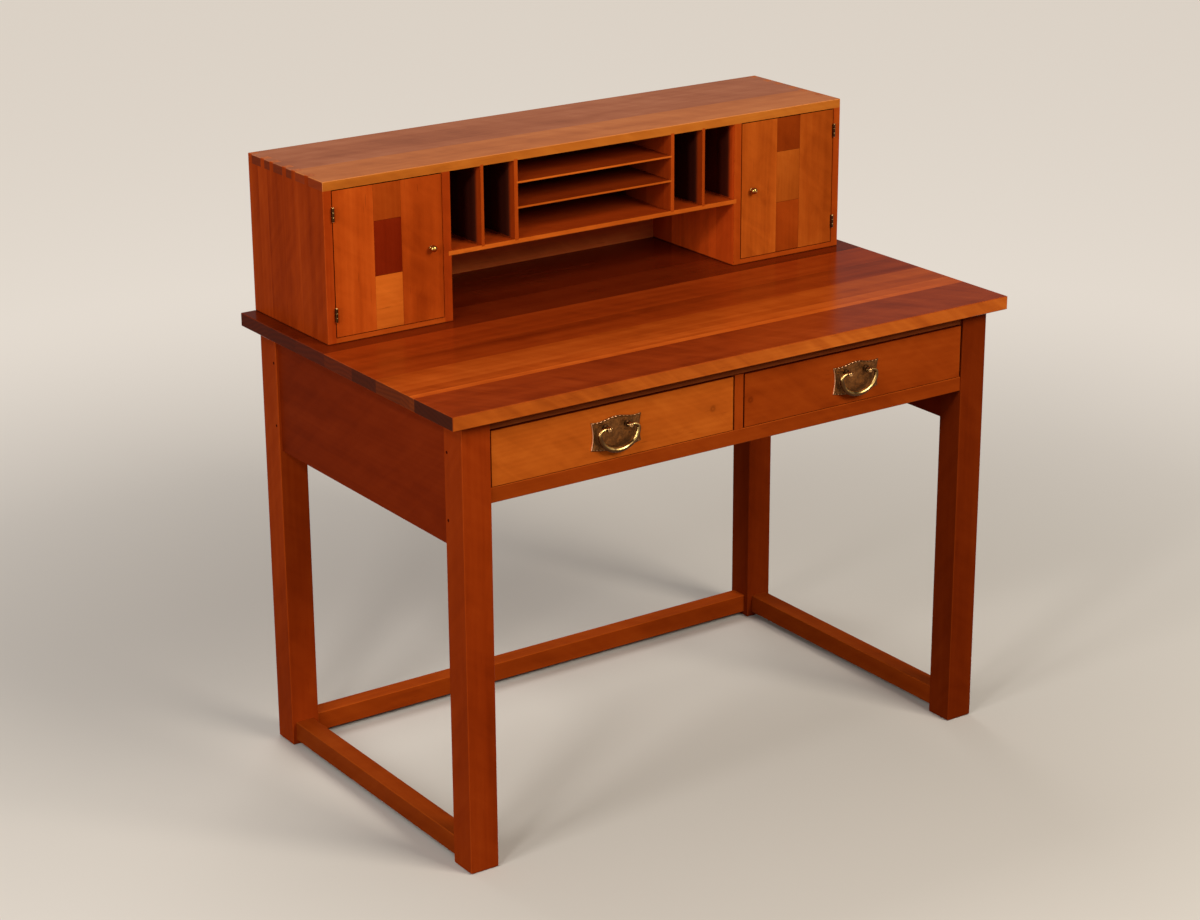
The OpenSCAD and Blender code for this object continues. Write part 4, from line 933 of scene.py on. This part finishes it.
class DESK_OT_pull_posts(bpy.types.Operator):
    """Make the posts that carry the bails, with their rods and nuts"""
    bl_idname = "desk.pull_posts"
    bl_label = "Pull Posts"

    def execute(self, context):
        metals = context.scene.desk_metal
        bronze = metal("post_bronze", metals.post, metals.patina, 0.24, 6 * MM, worn=0.6, seed=7)
        collar = metal(
            "collar_patina", metals.patina, shaded(metals.patina, 0.4), 0.4, 4 * MM, seed=10)
        materials = (bronze, steel("nut_steel", 9), collar)
        collar_r, neck_r, ball_r, ball_out = 5.5 * MM, 3.0 * MM, 4.5 * MM, 10 * MM
        rod_r, bore_r, bore_reach, collar_out = 2 * MM, 1.98 * MM, 60 * MM, 4.5 * MM
        post = [(0, 0), (0, 4.9 * MM), (0.3 * MM, collar_r), (1.2 * MM, collar_r), (1.6 * MM, 4.7 * MM),
                (1.75 * MM, 3.9 * MM), (2.4 * MM, 3.2 * MM), (4.0 * MM, neck_r)]
        ball_end(post, ball_out, ball_r, ball_r, math.acos(-0.62), 16)
        bore = ((-bore_reach, 0), (-bore_reach, bore_r), (bore_reach, bore_r), (bore_reach, 0))
        nut = ((0, 2.4 * MM), (0, 4 * MM), (0.3 * MM, 4.5 * MM), (2.7 * MM, 4.5 * MM),
               (3 * MM, 4 * MM), (3 * MM, 2.4 * MM))
        for side in SIDES:
            low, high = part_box(f"{side}_pull_posts")
            face_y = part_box(f"{side}_pull_plate")[0].y
            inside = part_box(f"{side}_drawer_front")[1].y
            height = joint_place(f"{side}_bail_swing").z
            reach = high.y - face_y
            rod = ((0.2 * MM, 0), (0.2 * MM, rod_r), (reach - 0.4 * MM, rod_r), (reach, 1.6 * MM),
                   (reach, 0))
            bm = bmesh.new()
            for x in (low.x + collar_r, high.x - collar_r):
                lathe(bm, post, Vector((x, face_y, height)), Vector((0, -1, 0)))
            drill = bmesh.new()
            middle = Vector(((low.x + high.x) / 2, face_y - ball_out, height))
            lathe(drill, bore, middle, Vector((1, 0, 0)), 32)
            mesh = drilled(mesh_from("posts", bm), drill)
            bm = bmesh.new()
            bm.from_mesh(mesh)
            for x in (low.x + collar_r, high.x - collar_r):
                lathe(bm, rod, Vector((x, face_y, height)), Vector((0, 1, 0)), 32, 1)
                lathe(bm, nut, Vector((x, inside, height)), Vector((0, 1, 0)), 6, 1, hollow=True)
            for face in bm.faces:
                if face.material_index == 0 and face.calc_center_median().y > face_y - collar_out:
                    face.material_index = 2
            make_piece(
                f"{side}_bail_posts", bm, f"{side}_drawer", "bronze", materials, f"{side}_pull_posts")
        return {"FINISHED"}


def bail_path(steps):
    """Points (x, z) and radii of a bail hanging from its pivot, pin to pin"""
    half, neck, shoulder, bow = 36 * MM, 25.35 * MM, 7 * MM, 29.5 * MM
    pin = [(x * MM, 0.0, 1.9 * MM) for x in (14.55, 16.5, 21.5)]
    points = [(-x, z, radius) for x, z, radius in pin]
    for k in range(steps + 1):
        angle = math.radians(-178 + 356 * k / steps)
        if math.cos(angle) > 0:
            x = half * math.sin(angle)
            z = -shoulder - bow * math.cos(angle)
        else:
            x = math.copysign(neck + (half - neck) * abs(math.sin(angle)), angle)
            z = -shoulder * (1 + math.cos(angle))
        radius = 2.4 + 1.6 * max(0.0, math.cos(angle / 2)) ** 1.5
        points.append((x, z, radius * MM))
    return points + pin[::-1]


class DESK_OT_bails(bpy.types.Operator):
    """Make the swinging bails of the drawer pulls"""
    bl_idname = "desk.bails"
    bl_label = "Bails"

    def execute(self, context):
        metals = context.scene.desk_metal
        # Painted highlight, also rubbed metal: the bails' upper faces get the bright rubbed colour
        bronze = metal(
            "bail_bronze", metals.bail, metals.patina, 0.24, 30 * MM, worn=0.6, seed=12, dent=0.03,
            rubbed=metals.glint, highlight_facing=(-0.25, -0.35, 0.9))
        points = bail_path(120)
        radii = [radius for x, z, radius in points]
        for side in SIDES:
            pivot = joint_place(f"{side}_bail_swing")
            bm = bmesh.new()
            path = [pivot + Vector((x, 0, z)) for x, z, radius in points]
            sweep(bm, path, radii, 32, Vector((0, 1, 0)))
            make_piece(
                f"{side}_hanging_bail", bm, f"{side}_handle", "bronze", (bronze,), f"{side}_bail",
                smooth_angle=60)
        return {"FINISHED"}


HINGE_TALL = 22.5 * MM
KNUCKLE_R = 2.1 * MM
LEAF_NEAR, LEAF_FAR = 0.75 * MM, 1.75 * MM    # how far a leaf's faces lie beside the hinge's axis


def hinge_leaf(bm, leaf, axis, back_y, base):
    """The flat leaf of a hinge, behind its knuckles"""
    low = (leaf[0], axis.y + 3.4 * MM, base)
    eased_box(bm, low, (leaf[1], back_y, base + HINGE_TALL), 0.15 * MM)


def knuckle(bm, leaf, axis, z0, z1):
    """One knuckle of a hinge: a short tube with rounded rims, and the strip to its leaf"""
    bore, round_off = 1.06 * MM, 0.5 * MM
    profile = [(0, bore), (0, KNUCKLE_R - round_off)]
    for k in range(1, 6):
        angle = math.radians(18 * k)
        profile.append((round_off * (1 - math.cos(angle)), KNUCKLE_R - round_off * (1 - math.sin(angle))))
    tall = z1 - z0
    profile += [(tall - along, radius) for along, radius in reversed(profile)]
    lathe(bm, profile, Vector((axis.x, axis.y, z0)), Vector((0, 0, 1)), 40, hollow=True)
    low = (leaf[0], axis.y + 1.6 * MM, z0 + 0.1 * MM)
    eased_box(bm, low, (leaf[1], axis.y + 4 * MM, z1 - 0.1 * MM), 0.1 * MM)


def hinge_pin(bm, centre, half):
    """A hinge pin with a domed head at both ends"""
    head, shank, dome = 1.8 * MM, 1.0 * MM, 1.0 * MM
    profile = [(-half - dome, 0)]
    for k in range(1, 7):
        angle = math.radians(15 * k)
        profile.append((-half - dome * math.cos(angle), head * math.sin(angle)))
    profile.append((-half, shank))
    profile += [(-along, radius) for along, radius in reversed(profile)]
    lathe(bm, profile, centre, Vector((0, 0, 1)), 32)


class DESK_OT_hinges(bpy.types.Operator):
    """Make the doors' butt hinges with their pins, and finish the catches"""
    bl_idname = "desk.hinges"
    bl_label = "Hinges"

    def execute(self, context):
        metals = context.scene.desk_metal
        # Painted highlight, also rubbed metal: the knuckles' upper rims get the bright rubbed colour
        brass = metal(
            "hinge_brass", metals.bail, shaded(metals.patina, 0.6), 0.24, 4 * MM, worn=0.8, seed=15,
            dent=0.2, rubbed=metals.glint, highlight_facing=(-0.1, -0.3, 0.95))
        tip = metal(
            "hinge_pin_brass", metals.glint, shaded(metals.brass, 0.5), 0.3, 4 * MM, seed=16, worn=0.2)
        low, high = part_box("case_hinge_leaves")
        third, gap = HINGE_TALL / 3, 0.3 * MM
        case, pins = bmesh.new(), bmesh.new()
        for side in SIDES:
            door = bmesh.new()
            axis = joint_place(f"{side}_door_hinge")
            near, far = OUTWARD[side] * LEAF_NEAR, OUTWARD[side] * LEAF_FAR
            case_leaf = sorted((axis.x + near, axis.x + far))
            door_leaf = sorted((axis.x - near, axis.x - far))
            for base in (low.z, high.z - HINGE_TALL):
                hinge_leaf(case, case_leaf, axis, high.y, base)
                hinge_leaf(door, door_leaf, axis, high.y, base)
                knuckle(case, case_leaf, axis, base, base + third - gap)
                knuckle(case, case_leaf, axis, base + 2 * third + gap, base + HINGE_TALL)
                knuckle(door, door_leaf, axis, base + third, base + 2 * third)
                centre = Vector((axis.x, axis.y, base + HINGE_TALL / 2))
                hinge_pin(pins, centre, HINGE_TALL / 2)
            make_piece(
                f"{side}_door_hinge_knuckles", door, f"{side}_door", "brass", (brass,),
                f"{side}_door_hinge_leaves")
        make_piece("case_hinge_knuckles", case, "desk", "brass", (brass,), "case_hinge_leaves")
        make_piece("domed_hinge_pins", pins, "desk", "brass", (tip,), "hinge_pins")
        finish_node("door_catches", steel("catch_steel", 18, dark=0.4, rough=0.35, cell=6 * MM))
        return {"FINISHED"}


class DESK_OT_knobs(bpy.types.Operator):
    """Make the doors' turned brass knobs with their screws"""
    bl_idname = "desk.knobs"
    bl_label = "Knobs"

    def execute(self, context):
        metals = context.scene.desk_metal
        brass = metal(
            "knob_brass", metals.brass, shaded(metals.brass, 0.5), 0.14, 6 * MM, worn=0.35, seed=21)
        materials = (brass, steel("knob_screw_steel", 23))
        for side in SIDES:
            low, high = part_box(f"{side}_door_knob")
            radius = (high.x - low.x) / 2
            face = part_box(f"{side}_door_staves")[0].y
            place = Vector(((low.x + high.x) / 2, face, (low.z + high.z) / 2))
            out, back = face - low.y, high.y - face
            knob = [(0, 0), (0, 3.6 * MM), (0.5 * MM, 4.0 * MM), (1.1 * MM, 4.0 * MM),
                    (1.6 * MM, 3.3 * MM), (2.3 * MM, 2.7 * MM), (3.0 * MM, 2.6 * MM)]
            ball_end(knob, out - radius * 0.9, radius, radius * 0.9, math.acos(-0.88), 20)
            screw = ((-1.0 * MM, 0), (-1.0 * MM, 1.75 * MM), (back - 2.6 * MM, 1.75 * MM),
                     (back - 2.5 * MM, 4 * MM), (back - 0.6 * MM, 4 * MM), (back, 2.8 * MM), (back, 0))
            bm = bmesh.new()
            lathe(bm, knob, place, Vector((0, -1, 0)), 64)
            lathe(bm, screw, place, Vector((0, 1, 0)), 40, 1)
            make_piece(
                f"{side}_turned_knob", bm, f"{side}_door", "brass", materials, f"{side}_door_knob")
        return {"FINISHED"}


# Studio

def studio_floor(look):
    """A large plain floor that is pale to the camera and darker as a bounce card"""
    bm = bmesh.new()
    bmesh.ops.create_circle(bm, cap_ends=True, radius=40, segments=96)
    mesh = bpy.data.meshes.new("studio_floor")
    bm.to_mesh(mesh)
    bm.free()
    s = Shader("studio_floor")
    rays = s.node("ShaderNodeLightPath")
    seen = s.math("MAXIMUM", rays.outputs["Is Camera Ray"], rays.outputs["Is Glossy Ray"])
    seen = s.math("MAXIMUM", seen, rays.outputs["Is Transmission Ray"])
    pale = s.mix(s.noise(s.spot, 0.8, 3.0), shaded(look.floor, 0.97), look.floor)
    far = s.spread(s.vector("LENGTH", s.spot), 0.7, 3.0)
    mesh.materials.append(s.finish(
        Base_Color=s.mix(far, s.mix(seen, look.floor_bounce, pale), (0.2, 0.2, 0.2)),
        Emission_Color=s.mix(s.times(far, seen), (0, 0, 0), look.backdrop),
        Emission_Strength=1.0, Roughness=0.85, Specular_IOR_Level=0.1))
    new_object("studio_floor", mesh)


def lamp(name, place, target, width, height, power, colour=(1, 1, 1)):
    """A large soft lamp that faces a point"""
    data = bpy.data.lights.new(name, "AREA")
    data.shape = "RECTANGLE"
    data.size = width
    data.size_y = height
    data.energy = power
    data.color = colour
    made = new_object(name, data)
    made.location = place
    made.rotation_euler = (Vector(target) - made.location).to_track_quat("-Z", "Y").to_euler()


class DESK_OT_studio(bpy.types.Operator):
    """Set up the camera, the lamps and the plain floor"""
    bl_idname = "desk.studio"
    bl_label = "Studio"

    def execute(self, context):
        look = context.scene.desk_studio
        studio_floor(look)
        data = bpy.data.cameras.new("camera")
        data.lens = look.lens
        data.sensor_width = 36
        data.clip_end = 200
        camera = new_object("camera", data)
        camera.location = look.place
        aim = Euler((math.pi / 2 - look.pitch, 0, -look.yaw)).to_matrix()
        camera.rotation_euler = (aim @ Matrix.Rotation(look.roll, 3, "Z")).to_euler()
        context.scene.camera = camera
        lamp("key_lamp", (1.0, -3.1, 2.9), (0, 0, 0.8), 1.6, 1.6, look.key, rgb(255, 250, 240))
        lamp("side_lamp", (-2.8, -0.8, 1.45), (0, 0, 0.7), 0.7, 1.2, look.fill)
        lamp("top_lamp", (0.2, 2.0, 3.5), (0, 0.1, 0.8), 2.4, 1.6, look.top)
        lamp("small_lamp", (-2.15, -1.4, 2.35), (0, -0.2, 0.8), 0.34, 0.34, look.glint)
        world = bpy.data.worlds.new("studio_world")
        context.scene.world = world
        world.use_nodes = True
        air = world.node_tree.nodes["Background"]
        air.inputs["Color"].default_value = (*rgb(250, 246, 240), 1)
        air.inputs["Strength"].default_value = look.world
        context.scene.view_settings.view_transform = "Standard"
        return {"FINISHED"}


class DESK_PT_sidebar(bpy.types.Panel):
    """The desk's steps, in the order in which they are run"""
    bl_idname = "DESK_PT_sidebar"
    bl_label = "Writing Desk"
    bl_space_type = "VIEW_3D"
    bl_region_type = "UI"
    bl_category = "Writing Desk"

    def draw(self, context):
        for step in STEPS:
            self.layout.operator(step.bl_idname)
        for settings in ("desk_wood", "desk_metal", "desk_studio"):
            group = getattr(context.scene, settings)
            box = self.layout.box()
            for prop in group.bl_rna.properties:
                if prop.identifier not in ("rna_type", "name"):
                    box.prop(group, prop.identifier)


STEPS = (
    DESK_OT_desktop, DESK_OT_table_frame, DESK_OT_gallery, DESK_OT_doors, DESK_OT_drawers,
    DESK_OT_pull_plates, DESK_OT_pull_posts, DESK_OT_bails, DESK_OT_hinges, DESK_OT_knobs,
    DESK_OT_studio,
)
CLASSES = (WoodFinish, MetalFinish, StudioLook, *STEPS, DESK_PT_sidebar)


def register():
    """Registers the classes and puts the settings on the scene"""
    for item in CLASSES:
        bpy.utils.register_class(item)
    bpy.types.Scene.desk_wood = PointerProperty(type=WoodFinish)
    bpy.types.Scene.desk_metal = PointerProperty(type=MetalFinish)
    bpy.types.Scene.desk_studio = PointerProperty(type=StudioLook)


def unregister():
    """Takes the settings and the classes away again"""
    for settings in ("desk_wood", "desk_metal", "desk_studio"):
        delattr(bpy.types.Scene, settings)
    for item in reversed(CLASSES):
        bpy.utils.unregister_class(item)


def main():
    """Builds the desk's looks and the studio"""
    register()
    for step in STEPS:
        group, command = step.bl_idname.split(".")
        getattr(getattr(bpy.ops, group), command)()


if __name__ == "__main__":
    main()
